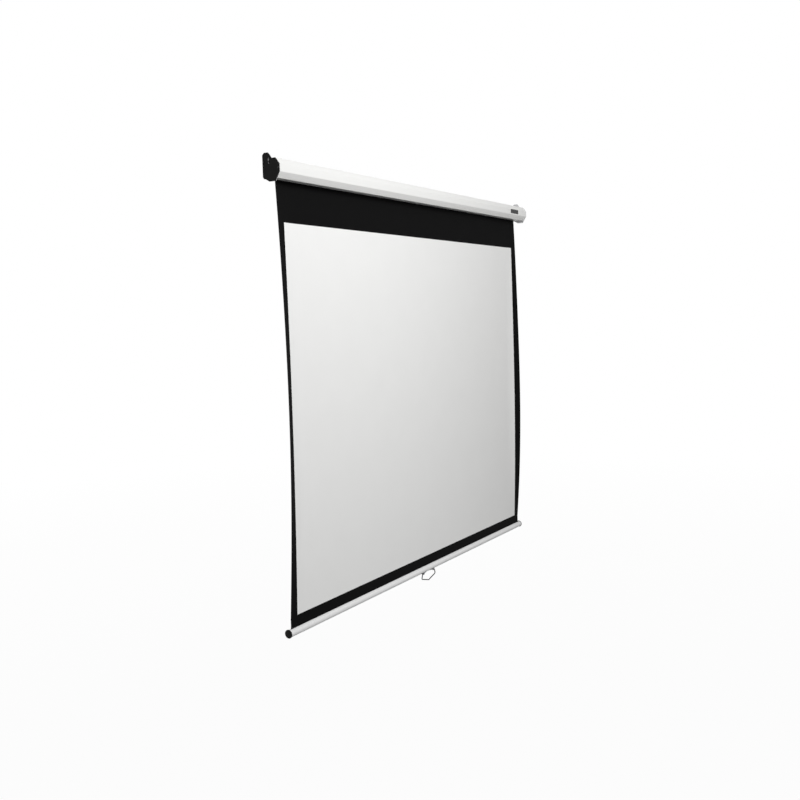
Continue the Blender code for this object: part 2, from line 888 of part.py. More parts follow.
def build_bar(bar_axis):
    # The eyes and rivets sit on an axis that leans forward, so that the handle hangs in view.
    half = FABRIC_HALF + BAR_OVERHANG
    eye_axis = axis_empty("eye_axis", (0, 0, 0), bar_axis)
    eye_axis.rotation_euler.x = -HANDLE_LEAN
    tube = place(
        "bar_tube",
        prism("bar_tube", bar_outline(), -half, half, math.radians(30)),
        SILVER,
        parent=bar_axis,
    )
    eye, rivet = eye_places()
    pivot = -(BAR_RADIUS + HANDLE_BELOW_BAR)
    for side, sign in (("left", -1), ("right", 1)):
        cap_profile = [
            (-(BAR_OVERHANG - 2 * GAP), 0.0),
            (-(BAR_OVERHANG - 2 * GAP), BAR_RADIUS - BAR_WALL - GAP),
            (GAP, BAR_RADIUS - BAR_WALL - GAP),
            (GAP, BAR_CAP_RADIUS),
            (GAP + BAR_CAP_FLANGE - BAR_CAP_EASE, BAR_CAP_RADIUS),
            (GAP + BAR_CAP_FLANGE, BAR_CAP_RADIUS - BAR_CAP_EASE),
            (GAP + BAR_CAP_FLANGE, 0.0),
        ]
        place(
            f"{side}_bar_cap",
            turned(f"{side}_bar_cap", [(sign * along, radius) for along, radius in cap_profile]),
            BLACK,
            (sign * half, 0, 0),
            bar_axis,
        )
        eye_piece = place(
            f"{side}_handle_eye",
            prism(
                f"{side}_handle_eye",
                eye_outline(),
                sign * (eye + EYE_WIDTH / 2),
                sign * (eye - EYE_WIDTH / 2),
                math.radians(30),
            ),
            GREY_PLASTIC,
            parent=eye_axis,
        )
        saddle = cutter(
            f"{side}_saddle_guide",
            prism(
                "saddle",
                saddle_outline(),
                sign * (eye + EYE_WIDTH / 2),
                sign * (eye - EYE_WIDTH / 2 - SADDLE_LENGTH),
            ),
            parent=eye_axis,
        )
        boolean(eye_piece, saddle, "UNION")
        wire_hole = cutter(
            f"{side}_wire_hole_guide",
            rod("wire_hole", -EYE_WIDTH, EYE_WIDTH, HANDLE_WIRE_RADIUS + 2 * RUNNING, 16),
            (sign * eye, 0, pivot),
            eye_axis,
        )
        boolean(eye_piece, wire_hole, "DIFFERENCE")
        rivet_hole = cutter(
            f"{side}_rivet_hole_guide",
            rod(
                "rivet_hole",
                -(BAR_RADIUS + SADDLE_THICKNESS + 4 * GAP),
                -(BAR_RADIUS - BAR_WALL - 2 * GAP),
                RIVET_RADIUS + GAP,
                16,
                upright=True,
            ),
            (sign * rivet, 0, 0),
            eye_axis,
        )
        boolean(eye_piece, rivet_hole, "DIFFERENCE")
        boolean(tube, rivet_hole, "DIFFERENCE")
        head = -(BAR_RADIUS + SADDLE_THICKNESS + 2 * GAP)
        place(
            f"{side}_rivet",
            turned(
                f"{side}_rivet",
                [
                    (head - RIVET_HEAD_HEIGHT, 0.0),
                    (head - RIVET_HEAD_HEIGHT, RIVET_HEAD_RADIUS - RIVET_HEAD_HEIGHT),
                    (head - RIVET_HEAD_HEIGHT / 3, RIVET_HEAD_RADIUS),
                    (head, RIVET_HEAD_RADIUS),
                    (head, RIVET_RADIUS),
                    (-(BAR_RADIUS - BAR_WALL), RIVET_RADIUS),
                    (-(BAR_RADIUS - BAR_WALL), 0.0),
                ],
                16,
                upright=True,
            ),
            STEEL,
            (sign * rivet, 0, 0),
            eye_axis,
        )


def handle_points():
    # One bent wire: in through one eye, down, out to the corner, along the shallow V and back up.
    eye, _ = eye_places()
    stub = eye - EYE_WIDTH / 2 - 2 * GAP
    side = HANDLE_SPAN / 2
    corner = side + HANDLE_SPLAY
    right = rounded([(stub, 0), (side, 0), (corner, -HANDLE_SIDE_DROP)], HANDLE_BEND, 4)[:-1]
    loop = [
        (side, 0),
        (corner, -HANDLE_SIDE_DROP),
        (0, -HANDLE_DROP),
        (-corner, -HANDLE_SIDE_DROP),
        (-side, 0),
    ]
    middle = rounded(loop, HANDLE_CORNER, 4)[1:-1]
    left = [(-x, z) for x, z in reversed(right)]
    return [(x, 0, z) for x, z in [*right, *middle, *left]]


def build_handle(handle_axis):
    place(
        "pull_handle",
        wire("pull_handle", handle_points(), HANDLE_WIRE_RADIUS, 2),
        WIRE_STEEL,
        parent=handle_axis,
    )


def build_badge():
    half_length = BADGE_LENGTH / 2
    top = CASE_TOP - TOP_CHAMFER_HEIGHT - BADGE_BELOW_EDGE
    bottom = top - BADGE_HEIGHT
    back = -(CASE_DEPTH + GAP)
    ease = BADGE_THICKNESS / 2
    outline = [
        (back, bottom),
        (back, top),
        (back - BADGE_THICKNESS, top - ease),
        (back - BADGE_THICKNESS, bottom + ease),
    ]
    place(
        "badge",
        prism("badge", outline, -half_length, half_length),
        BADGE_BLACK,
        (CASE_HALF - BADGE_FROM_CASE_END, 0, 0),
    )


def main():
    clear_scene()
    build_case()
    build_end("left", -1)
    build_end("right", 1)
    build_badge()
    build_spindle()
    roller_axis = axis_empty("roller_axis", (0, ROLLER_Y, ROLLER_Z))
    build_roller(roller_axis)
    build_spring_end(roller_axis)
    build_lock(roller_axis)
    build_anchor(roller_axis)
    build_idler_end(roller_axis)
    bar_axis = axis_empty("bar_axis", (0, -FABRIC_TO_WALL, BAR_TOP - BAR_RADIUS))
    build_fabric(bar_axis)
    build_bar(bar_axis)
    reach = BAR_RADIUS + HANDLE_BELOW_BAR
    pivot = (0, -reach * math.sin(HANDLE_LEAN), -reach * math.cos(HANDLE_LEAN))
    handle_axis = axis_empty("handle_axis", pivot, bar_axis)
    build_handle(handle_axis)


main()
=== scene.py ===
import math

import bmesh
import bpy
from mathutils import Matrix, Vector


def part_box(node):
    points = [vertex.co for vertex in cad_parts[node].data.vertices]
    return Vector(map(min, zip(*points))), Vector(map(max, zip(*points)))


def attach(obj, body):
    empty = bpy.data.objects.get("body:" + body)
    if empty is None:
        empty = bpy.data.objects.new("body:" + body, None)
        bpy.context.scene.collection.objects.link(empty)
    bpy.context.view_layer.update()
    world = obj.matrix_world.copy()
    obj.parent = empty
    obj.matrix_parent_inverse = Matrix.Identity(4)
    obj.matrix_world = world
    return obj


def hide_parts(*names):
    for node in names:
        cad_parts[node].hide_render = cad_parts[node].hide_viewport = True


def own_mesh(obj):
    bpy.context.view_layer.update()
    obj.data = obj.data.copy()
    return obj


# A manual pull down projector screen, pulled right down.
# Metres. X runs along the case, the front faces -Y, Z is up and the wall is the plane y = 0.

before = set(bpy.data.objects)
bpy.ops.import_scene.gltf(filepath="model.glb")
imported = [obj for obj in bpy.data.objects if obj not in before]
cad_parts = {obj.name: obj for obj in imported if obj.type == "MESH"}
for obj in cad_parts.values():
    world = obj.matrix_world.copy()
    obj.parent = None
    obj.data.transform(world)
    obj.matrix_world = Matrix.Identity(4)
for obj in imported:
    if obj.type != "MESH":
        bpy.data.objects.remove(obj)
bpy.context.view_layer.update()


# shader helpers

class Strand:
    # One shader socket that can be added, scaled and compared like a number.

    def __init__(self, bench, socket):
        self.bench = bench
        self.socket = socket

    def maths(self, operation, first, second):
        return self.bench.node("ShaderNodeMath", {"operation": operation}, {0: first, 1: second})

    def __add__(self, other):
        return self.maths("ADD", self, other)

    def __radd__(self, other):
        return self.maths("ADD", other, self)

    def __sub__(self, other):
        return self.maths("SUBTRACT", self, other)

    def __rsub__(self, other):
        return self.maths("SUBTRACT", other, self)

    def __mul__(self, other):
        return self.maths("MULTIPLY", self, other)

    def __rmul__(self, other):
        return self.maths("MULTIPLY", other, self)

    def __gt__(self, other):
        return self.maths("GREATER_THAN", self, other)

    def __lt__(self, other):
        return self.maths("LESS_THAN", self, other)

    def larger(self, other):
        return self.maths("MAXIMUM", self, other)

    def wave(self):
        return self.maths("SINE", self, 0.0)

    def sway(self, amount):
        # A grain from 0 to 1 as a change of half the amount either way.
        return (self - 0.5) * amount


class NodeBench:
    # Makes and joins the nodes of one tree.

    def __init__(self, tree):
        self.tree = tree

    def feed(self, socket, value):
        if isinstance(value, Strand):
            self.tree.links.new(value.socket, socket)
        elif isinstance(value, tuple) and len(value) == 3 and socket.type == "RGBA":
            socket.default_value = (*value, 1.0)
        else:
            socket.default_value = value

    def node(self, kind, settings=None, values=None, out=0):
        made = self.tree.nodes.new(kind)
        for key, value in (settings or {}).items():
            if key == "stops":
                for stop, (place, level) in zip(made.color_ramp.elements, value):
                    stop.position = place
                    stop.color = (level, level, level, 1.0)
            else:
                setattr(made, key, value)
        for key, value in (values or {}).items():
            self.feed(made.inputs[key], value)
        return Strand(self, made.outputs[out])


class Finish(NodeBench):
    # A material with one Principled surface.

    def __init__(self, name, **fixed):
        self.made = bpy.data.materials.new(name)
        self.made.use_nodes = True
        super().__init__(self.made.node_tree)
        self.surface = self.tree.nodes["Principled BSDF"]
        for socket, value in fixed.items():
            self.put(socket.replace("_", " "), value)

    def put(self, socket, value):
        self.feed(self.surface.inputs[socket], value)

    def place(self, flat=False):
        # Where a point is on the piece: its own metres, or metres along the flat cloth.
        return self.node("ShaderNodeTexCoord", out="UV" if flat else "Object")

    def axes(self, place):
        split = self.node("ShaderNodeSeparateXYZ", values={0: place})
        return [Strand(self, socket) for socket in split.socket.node.outputs]

    def grain(self, place, scale, detail=2.0, stretch=(1, 1, 1)):
        if stretch != (1, 1, 1):
            place = self.node(
                "ShaderNodeVectorMath", {"operation": "MULTIPLY"}, {0: place, 1: stretch}
            )
        return self.node(
            "ShaderNodeTexNoise", values={"Vector": place, "Scale": scale, "Detail": detail}
        )

    def blend(self, mask, first, second):
        # Sockets 6 and 7 are the Mix node's two colours, and its output 2 is their blend.
        return self.node(
            "ShaderNodeMix", {"data_type": "RGBA"}, {0: mask, 6: first, 7: second}, out=2
        )

    def ramp(self, value, low, high):
        return self.node("ShaderNodeValToRGB", {"stops": [(low, 0.0), (high, 1.0)]}, {0: value})

    def relief(self, height, depth, strength, under=None):
        values = {"Height": height, "Distance": depth, "Strength": strength}
        if under:
            values["Normal"] = under
        return self.node("ShaderNodeBump", values=values)


# finishes

def scaled(colour, factor):
    return tuple(channel * factor for channel in colour)


coatLook = {
    "colour": (0.83, 0.83, 0.815),
    "specular": 0.45,
    "roughness": 0.36,
    "driftScale": 7,
    "driftTone": 0.975,
    "driftRoughness": 0.12,
    "peelScale": 850,
    "peelDepth": 0.00003,
    "peelStrength": 0.5,
    "lipTop": -0.0292,
    "lipBack": -0.0275,
    "rubScale": 60,
    "rubStretch": (0.25, 1, 1),
    "rubRange": (0.5, 0.72),
    "rubColour": (0.42, 0.42, 0.41),
    "rubAmount": 0.35,
    "rubRoughness": 0.3,
}


def whiteCoat():
    # Powder coat: faint orange peel, slight drift in tone, and grey rub marks on the slot's lips.
    look = coatLook
    made = Finish("whitePowderCoat", Specular_IOR_Level=look["specular"])
    spot = made.place()
    _, depth, height = made.axes(spot)
    drift = made.grain(spot, look["driftScale"], 3)
    lips = (height < look["lipTop"]) * (depth > look["lipBack"])
    rubs = made.ramp(made.grain(spot, look["rubScale"], 3, look["rubStretch"]), *look["rubRange"])
    rubbed = lips * rubs * look["rubAmount"]
    tone = made.blend(drift, scaled(look["colour"], look["driftTone"]), look["colour"])
    made.put("Base Color", made.blend(rubbed, tone, look["rubColour"]))
    dulled = drift.sway(look["driftRoughness"]) + rubbed * look["rubRoughness"]
    made.put("Roughness", look["roughness"] + dulled)
    peel = made.grain(spot, look["peelScale"], 1.5)
    made.put("Normal", made.relief(peel, look["peelDepth"], look["peelStrength"]))
    return made.made


plasticLook = {
    "wornScale": 45,
    "wornRange": (0.42, 0.75),
    "wornTone": 1.5,
    "wornShine": 0.12,
    "unevenScale": 600,
    "unevenRoughness": 0.06,
    "fineScale": 2600,
    "fineShare": 0.6,
    "coarseScale": 900,
    "coarseShare": 0.4,
    "textureStrength": 0.6,
}


def mouldedPlastic(name, colour, roughness, textureDepth, specular=0.4):
    # Spark-eroded plastic: a fine even texture with slightly shinier worn patches.
    look = plasticLook
    made = Finish(name, Specular_IOR_Level=specular)
    spot = made.place()
    worn = made.ramp(made.grain(spot, look["wornScale"], 4), *look["wornRange"])
    made.put("Base Color", made.blend(worn, colour, scaled(colour, look["wornTone"])))
    uneven = made.grain(spot, look["unevenScale"], 1) * look["unevenRoughness"]
    made.put("Roughness", roughness - worn * look["wornShine"] + uneven)
    fine = made.grain(spot, look["fineScale"], 2) * look["fineShare"]
    coarse = made.grain(spot, look["coarseScale"], 1) * look["coarseShare"]
    made.put("Normal", made.relief(fine + coarse, textureDepth, look["textureStrength"]))
    return made.made


metalLook = {
    "lineScale": 1500,
    "lineStretch": (0.004, 1, 1),
    "lineDepth": 0.00001,
    "lineStrength": 0.5,
    "patchScale": 18,
    "patchTone": 0.93,
}


def drawnMetal(name, colour, roughness, metallic, specular=0.3, spread=0.1):
    # Extruded or drawn metal: fine lines along X, and soft patches in the sheen.
    look = metalLook
    made = Finish(name, Specular_IOR_Level=specular)
    spot = made.place()
    lines = made.grain(spot, look["lineScale"], 3, look["lineStretch"])
    patches = made.grain(spot, look["patchScale"], 3)
    made.put("Base Color", made.blend(patches, scaled(colour, look["patchTone"]), colour))
    made.put("Metallic", metallic)
    made.put("Roughness", roughness + lines.sway(spread) + patches.sway(spread))
    made.put("Normal", made.relief(lines, look["lineDepth"], look["lineStrength"]))
    return made.made


plateLook = {
    "cloudScale": 220,
    "cloudTone": 0.8,
    "cloudRoughness": 0.25,
    "pitScale": 1800,
    "pitDepth": 0.00002,
    "pitStrength": 0.4,
}


def platedSteel(name, colour, roughness, metallic=1.0):
    # Zinc plate: small cloudy patches and a slightly pitted surface.
    look = plateLook
    made = Finish(name, Metallic=metallic)
    spot = made.place()
    cloud = made.grain(spot, look["cloudScale"], 4)
    made.put("Base Color", made.blend(cloud, scaled(colour, look["cloudTone"]), colour))
    made.put("Roughness", roughness + cloud.sway(look["cloudRoughness"]))
    pits = made.grain(spot, look["pitScale"], 2)
    made.put("Normal", made.relief(pits, look["pitDepth"], look["pitStrength"]))
    return made.made


clothLook = {
    "threads": 1150,  # in a metre
    "weaveDepth": 0.00005,
    "weaveStrength": 0.35,
    "unevenScale": 9,
    "unevenTone": 0.97,
    "unevenRoughness": 0.1,
    "lintScale": 240,
    "lintRange": (0.71, 0.78),
    "lintColour": (0.5, 0.5, 0.5),
    "creaseScale": 5,
    "creaseStretch": (1, 0.35, 1),
    "creaseDepth": 0.004,
    "creaseStrength": 0.25,
}


def coatedCloth(name, colour, roughness, lint, specular, sheen=0.0):
    # Coated glass-fibre cloth: a fine weave that shows through, a little lint, faint long creases.
    look = clothLook
    made = Finish(name, Sheen_Weight=sheen, Specular_IOR_Level=specular)
    spot = made.place(flat=True)
    across, along, _ = made.axes(spot)
    turn = 2 * math.pi * look["threads"]
    weave = (across * turn).wave() * (along * turn).wave()
    uneven = made.grain(spot, look["unevenScale"], 3)
    specks = made.ramp(made.grain(spot, look["lintScale"], 2), *look["lintRange"])
    tone = made.blend(uneven, scaled(colour, look["unevenTone"]), colour)
    made.put("Base Color", made.blend(specks * lint, tone, look["lintColour"]))
    made.put("Roughness", roughness + uneven.sway(look["unevenRoughness"]))
    long = made.grain(spot, look["creaseScale"], 2, look["creaseStretch"])
    creases = made.relief(long, look["creaseDepth"], look["creaseStrength"])
    made.put("Normal", made.relief(weave, look["weaveDepth"], look["weaveStrength"], creases))
    return made.made


badgeLook = {
    "colour": (0.012, 0.012, 0.013),
    "specular": 0.1,
    "roughness": 0.16,
    "coat": 0.12,
    "coatRoughness": 0.05,
    "scratchScale": 260,
    "scratchStretch": (0.2, 1, 1),
    "scratchRange": (0.6, 0.66),
    "scratchColour": (0.03, 0.03, 0.032),
    "scratchRoughness": 0.16,
    "scratchedCoat": 0.08,
}


def badgeGloss():
    # Bare gloss plate with a clear top coat and hair-fine handling scratches.
    look = badgeLook
    made = Finish(
        "badgeGloss", Coat_Roughness=look["coatRoughness"], Specular_IOR_Level=look["specular"]
    )
    spot = made.place()
    hairs = made.grain(spot, look["scratchScale"], 4, look["scratchStretch"])
    scratches = made.ramp(hairs, *look["scratchRange"])
    made.put("Base Color", made.blend(scratches, look["colour"], look["scratchColour"]))
    made.put("Roughness", look["roughness"] + scratches * look["scratchRoughness"])
    made.put("Coat Weight", look["coat"] - scratches * look["scratchedCoat"])
    return made.made


caseWhite = whiteCoat()
capBlack = mouldedPlastic("capBlack", (0.0065, 0.0065, 0.0066), 0.5, 0.00006, specular=0.12)
plugBlack = mouldedPlastic("plugBlack", (0.016, 0.016, 0.017), 0.55, 0.00004)
eyeGrey = mouldedPlastic("eyeGrey", (0.16, 0.16, 0.165), 0.5, 0.00005)
bushNylon = mouldedPlastic("bushNylon", (0.74, 0.73, 0.69), 0.45, 0.00003)
barSatin = drawnMetal("barSatin", (0.91, 0.91, 0.91), 0.5, 0.03, specular=0.03)
rollerSatin = drawnMetal("rollerSatin", (0.72, 0.72, 0.73), 0.38, 0.9)
handleSteel = drawnMetal("handleSteel", (0.035, 0.035, 0.037), 0.42, 0.2, specular=0.1, spread=0.16)
zincSteel = platedSteel("zincSteel", (0.6, 0.61, 0.63), 0.32)
hangerSteel = platedSteel("hangerSteel", (0.75, 0.75, 0.76), 0.5, metallic=0.2)
screwBlack = platedSteel("screwBlack", (0.035, 0.035, 0.037), 0.42)
viewingWhite = coatedCloth("viewingWhite", (0.9, 0.9, 0.89), 0.86, 0.02, 0.15, sheen=0.04)
maskBlack = coatedCloth("maskBlack", (0.0055, 0.0055, 0.0056), 0.75, 0.04, 0.02)
rearBlack = coatedCloth("rearBlack", (0.010, 0.010, 0.0104), 0.82, 0.08, 0.03)
badgeBlack = badgeGloss()
print("finishes made")


# mesh helpers

meshing = {
    "weld": 1e-7,
    "nodeWeld": 0.000002,
    "sharp": 32,
    "sharpOnCloth": 50,
    "softCorners": 4,
    "pastFace": 0.001,  # how far a cutter reaches past the face that it cuts
}


def finished(name, points, faces, angle=meshing["sharp"], finishOf=None):
    # A welded mesh facing out, smooth but for edges sharper than the angle in degrees.
    shape = bmesh.new()
    made = [shape.verts.new(point) for point in points]
    for index, face in enumerate(faces):
        new = shape.faces.new([made[i] for i in face])
        new.material_index = finishOf[index] if finishOf else 0
    bmesh.ops.remove_doubles(shape, verts=shape.verts, dist=meshing["weld"])
    bmesh.ops.recalc_face_normals(shape, faces=shape.faces)
    data = bpy.data.meshes.new(name)
    shape.to_mesh(data)
    shape.free()
    smooth(data, angle)
    return data


def smooth(data, angle):
    # Flat places with many corners keep their own even shade.
    data.shade_smooth()
    data.set_sharp_from_angle(angle=math.radians(angle))
    for face in data.polygons:
        face.use_smooth = len(face.vertices) <= meshing["softCorners"]


def loose(name, data):
    made = bpy.data.objects.new(name, data)
    bpy.context.scene.collection.objects.link(made)
    return made


def settle(piece):
    # Turns a piece and its modifiers into one plain mesh.
    graph = bpy.context.evaluated_depsgraph_get()
    made = bpy.data.meshes.new_from_object(piece.evaluated_get(graph))
    piece.modifiers.clear()
    piece.data = made
    smooth(made, meshing["sharp"])


def carve(piece, cutters):
    for cutter in cutters:
        change = piece.modifiers.new("carve", "BOOLEAN")
        change.operation = "DIFFERENCE"
        change.solver = "EXACT"
        change.object = cutter
    settle(piece)
    for cutter in cutters:
        bpy.data.objects.remove(cutter, do_unlink=True)


def ease(piece, width, segments, limit):
    # Rounds the edges that are sharper than the limit in degrees.
    change = piece.modifiers.new("ease", "BEVEL")
    change.width = width
    change.segments = segments
    change.limit_method = "ANGLE"
    change.angle_limit = math.radians(limit)
    settle(piece)


def hang(piece, body, slot, finishes, *nodes):
    # Gives a piece its finishes and its body, and hides the CAD nodes that it stands for. The slot
    # argument is not used.
    for finish in finishes:
        piece.data.materials.append(finish)
    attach(piece, body)
    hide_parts(*nodes)


def middleOf(node):
    # The y and z of the middle of a CAD node's box.
    low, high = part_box(node)
    return ((low.y + high.y) / 2, (low.z + high.z) / 2)


def arcOf(centre, radius, first, last, steps):
    # Points on an arc, with its angles in degrees.
    made = []
    for i in range(steps + 1):
        angle = math.radians(first + (last - first) * i / steps)
        made.append((centre[0] + radius * math.cos(angle), centre[1] + radius * math.sin(angle)))
    return made


def discOf(centre, radius, corners=24):
    return arcOf(centre, radius, 0, 360 - 360 / corners, corners - 1)


def filleted(points, steps=5, closed=False):
    # A path of (a, b, radius) corners with each corner rounded; an open path keeps its two ends.
    path = [Vector(point[:2]) for point in points]
    count = len(path)
    made = []
    for i, corner in enumerate(path):
        radius = points[i][2] if len(points[i]) > 2 else 0.0
        if radius <= 0 or (not closed and i in (0, count - 1)):
            made.append(tuple(corner))
            continue
        back = (path[i - 1] - corner).normalized()
        on = (path[(i + 1) % count] - corner).normalized()
        half = back.angle(on) / 2
        centre = corner + (back + on).normalized() * (radius / math.sin(half))
        first = corner + back * (radius / math.tan(half)) - centre
        last = corner + on * (radius / math.tan(half)) - centre
        turn = math.atan2(first.x * last.y - first.y * last.x, first.dot(last))
        for j in range(steps + 1):
            made.append(tuple(centre + Matrix.Rotation(turn * j / steps, 2) @ first))
    return made


def inset(outline, amount):
    # A closed outline moved inwards. A sharp corner moves by 2.5 times the amount at most.
    area = sum(a[0] * b[1] - b[0] * a[1] for a, b in zip(outline, outline[1:] + outline[:1]))
    sign = 1 if area > 0 else -1
    made = []
    for i, point in enumerate(outline):
        before, after = Vector(outline[i - 1]), Vector(outline[(i + 1) % len(outline)])
        here = Vector(point)
        ways = [(here - before).normalized(), (after - here).normalized()]
        sides = [Vector((-way.y, way.x)) * sign for way in ways]
        middle = (sides[0] + sides[1]).normalized()
        made.append(tuple(here + middle * (amount / max(0.4, middle.dot(sides[0])))))
    return made


def alongX(a, b, c):
    return (c, a, b)


def alongY(a, b, c):
    return (a, c, b)


def slab(name, outline, near, far, nearRound=0.0, farRound=0.0, turn=alongX, steps=3):
    # An outline drawn out from near to far, with rounded rims where a radius is given.
    way = 1 if far > near else -1
    layers = []
    for end, radius, side in ((near, nearRound, 1), (far, farRound, -1)):
        rim = []
        for j in range(steps + 1 if radius else 1):
            angle = math.pi / 2 * j / steps
            amount = radius * (1 - math.sin(angle))
            rim.append((amount, end + way * side * radius * (1 - math.cos(angle))))
        layers += rim if side == 1 else rim[::-1]
    points, faces, count = [], [], len(outline)
    for amount, level in layers:
        ring = inset(outline, amount) if amount > 0 else outline
        points += [turn(a, b, level) for a, b in ring]
    for k in range(len(layers) - 1):
        low, high = k * count, (k + 1) * count
        for i in range(count):
            j = (i + 1) % count
            faces.append((low + i, low + j, high + j, high + i))
    faces.append(tuple(range(count)))
    faces.append(tuple(range((len(layers) - 1) * count, len(layers) * count)))
    return finished(name, points, faces)


def ribbon(name, path, thickness, start, end, lip=4, angle=meshing["sharp"]):
    # A wall of even thickness that follows an open (y, z) path, drawn out along X, with round lips.
    here = [Vector(point) for point in path]
    left, right = [], []
    for i, point in enumerate(here):
        ways = []
        if i:
            ways.append((point - here[i - 1]).normalized())
        if i < len(here) - 1:
            ways.append((here[i + 1] - point).normalized())
        way = sum(ways, Vector((0, 0))).normalized()
        side = Vector((-way.y, way.x)) * (thickness / 2 / way.dot(ways[0]))
        left.append(point + side)
        right.append(point - side)
    lips = []
    for tip, corner in ((here[-1], left[-1]), (here[0], right[0])):
        arm = corner - tip
        lips.append([tip + Matrix.Rotation(-math.pi * j / lip, 2) @ arm for j in range(1, lip)])
    outline = left + lips[0] + right[::-1] + lips[1]
    count, wall = len(outline), len(left)
    points = [(x, point.x, point.y) for x in (start, end) for point in outline]
    faces = [(i, (i + 1) % count, (i + 1) % count + count, i + count) for i in range(count)]
    for offset in (0, count):
        for i in range(wall - 1):
            far = 2 * wall + lip - 2 - i
            faces.append((offset + i, offset + i + 1, offset + far - 1, offset + far))
        first = [offset + i for i in range(wall - 1, wall + lip)]
        last = [offset + 2 * wall + lip - 2 + i for i in range(lip)] + [offset]
        faces += [tuple(first), tuple(last)]
    return finished(name, points, faces, angle)


def turned(name, profile, centre=(0, 0, 0), steps=64, angle=meshing["sharp"]):
    # A closed profile of (x, radius) points turned about a line along X.
    points, faces = [], []
    rings = []
    for x, radius in profile:
        if radius <= 0:
            rings.append([len(points)] * steps)
            points.append((centre[0] + x, centre[1], centre[2]))
            continue
        rings.append([len(points) + i for i in range(steps)])
        for i in range(steps):
            turn = 2 * math.pi * i / steps
            y, z = centre[1] + radius * math.cos(turn), centre[2] + radius * math.sin(turn)
            points.append((centre[0] + x, y, z))
    pairs = list(zip(rings, rings[1:]))
    if profile[0][1] > 0 and profile[-1][1] > 0:
        pairs.append((rings[-1], rings[0]))
    for first, second in pairs:
        for i in range(steps):
            j = (i + 1) % steps
            corners = [first[i], first[j], second[j], second[i]]
            faces.append(tuple(dict.fromkeys(corners)))
    return finished(name, points, faces, angle)


def rod(name, path, radius, sides, domes, angle):
    # A round wire along a path of 3-D points, with domed ends.
    line = [Vector(point) for point in path]
    ways = []
    for i in range(len(line)):
        before, after = line[max(0, i - 1)], line[min(len(line) - 1, i + 1)]
        ways.append((after - before).normalized())
    across = ways[0].orthogonal().normalized()
    rings = []
    for spot, way in zip(line, ways):
        across = (across - way * across.dot(way)).normalized()
        rings.append((spot, way, across.copy(), 1.0))
    spot, way, side, _ = rings[0]
    lastSpot, lastWay, lastSide, _ = rings[-1]
    starts, ends = [], []
    for j in range(domes):
        turn = math.pi / 2 * j / domes
        reach, share = radius * math.cos(turn), math.sin(turn)
        starts.append((spot - way * reach, way, side, share))
        ends.append((lastSpot + lastWay * reach, lastWay, lastSide, share))
    points, faces, rows = [], [], []
    for spot, way, side, share in starts + rings + ends[::-1]:
        if share <= 0:
            rows.append([len(points)] * sides)
            points.append(tuple(spot))
            continue
        rows.append([len(points) + i for i in range(sides)])
        up = way.cross(side)
        for i in range(sides):
            turn = 2 * math.pi * i / sides
            out = side * math.cos(turn) + up * math.sin(turn)
            points.append(tuple(spot + out * radius * share))
    for a, b in zip(rows, rows[1:]):
        for i in range(sides):
            j = (i + 1) % sides
            faces.append(tuple(dict.fromkeys([a[i], a[j], b[j], b[i]])))
    return finished(name, points, faces, angle)


# case

case = {
    "wall": 0.0015,
    "corner": 0.0026,
    "cornerSteps": 7,
    "lipSteps": 6,
    "topChamfer": (0.016, 0.020),
    "lowChamfer": (0.0145, 0.0185),
    "slotFrom": 0.008,
    "slotTo": 0.024,
    "portRadius": 0.0035,
    "portWall": 0.0013,
    "portOpening": 100,
    "portSteps": 24,
    "portFaces": {"upper": 180, "lower": 180, "front": 0},  # degrees, 0 faces the wall
}


def makeCase():
    low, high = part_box("case_shell")
    half = case["wall"] / 2
    front, rear, top, bottom = low.y + half, high.y - half, high.z - half, low.z + half
    bend = case["corner"]
    corners = [
        (-case["slotTo"] - half, bottom),
        (low.y + case["lowChamfer"][0], bottom, bend),
        (front, low.z + case["lowChamfer"][1], bend),
        (front, high.z - case["topChamfer"][1], bend),
        (low.y + case["topChamfer"][0], top, bend),
        (rear, top, bend),
        (rear, bottom, bend),
        (-case["slotFrom"] + half, bottom),
    ]
    path = filleted(corners, case["cornerSteps"])
    data = ribbon("caseExtrusion", path, case["wall"], low.x, high.x, case["lipSteps"])
    hang(loose("caseExtrusion", data), "mounted_case", "white_case", [caseWhite], "case_shell")


def makePorts():
    # The C-shaped channels inside the extrusion that the end screws bite into.
    low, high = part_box("case_shell")
    radius = case["portRadius"] - case["portWall"] / 2
    opening = case["portOpening"] / 2
    for place, facing in case["portFaces"].items():
        centre = middleOf(f"left_{place}_screw")
        path = arcOf(centre, radius, facing + opening, facing + 360 - opening, case["portSteps"])
        data = ribbon(f"{place}ScrewChannel", path, case["portWall"], low.x, high.x, 3)
        channel = loose(f"{place}ScrewChannel", data)
        channel.data.materials.append(caseWhite)
        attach(channel, "mounted_case")


# end caps

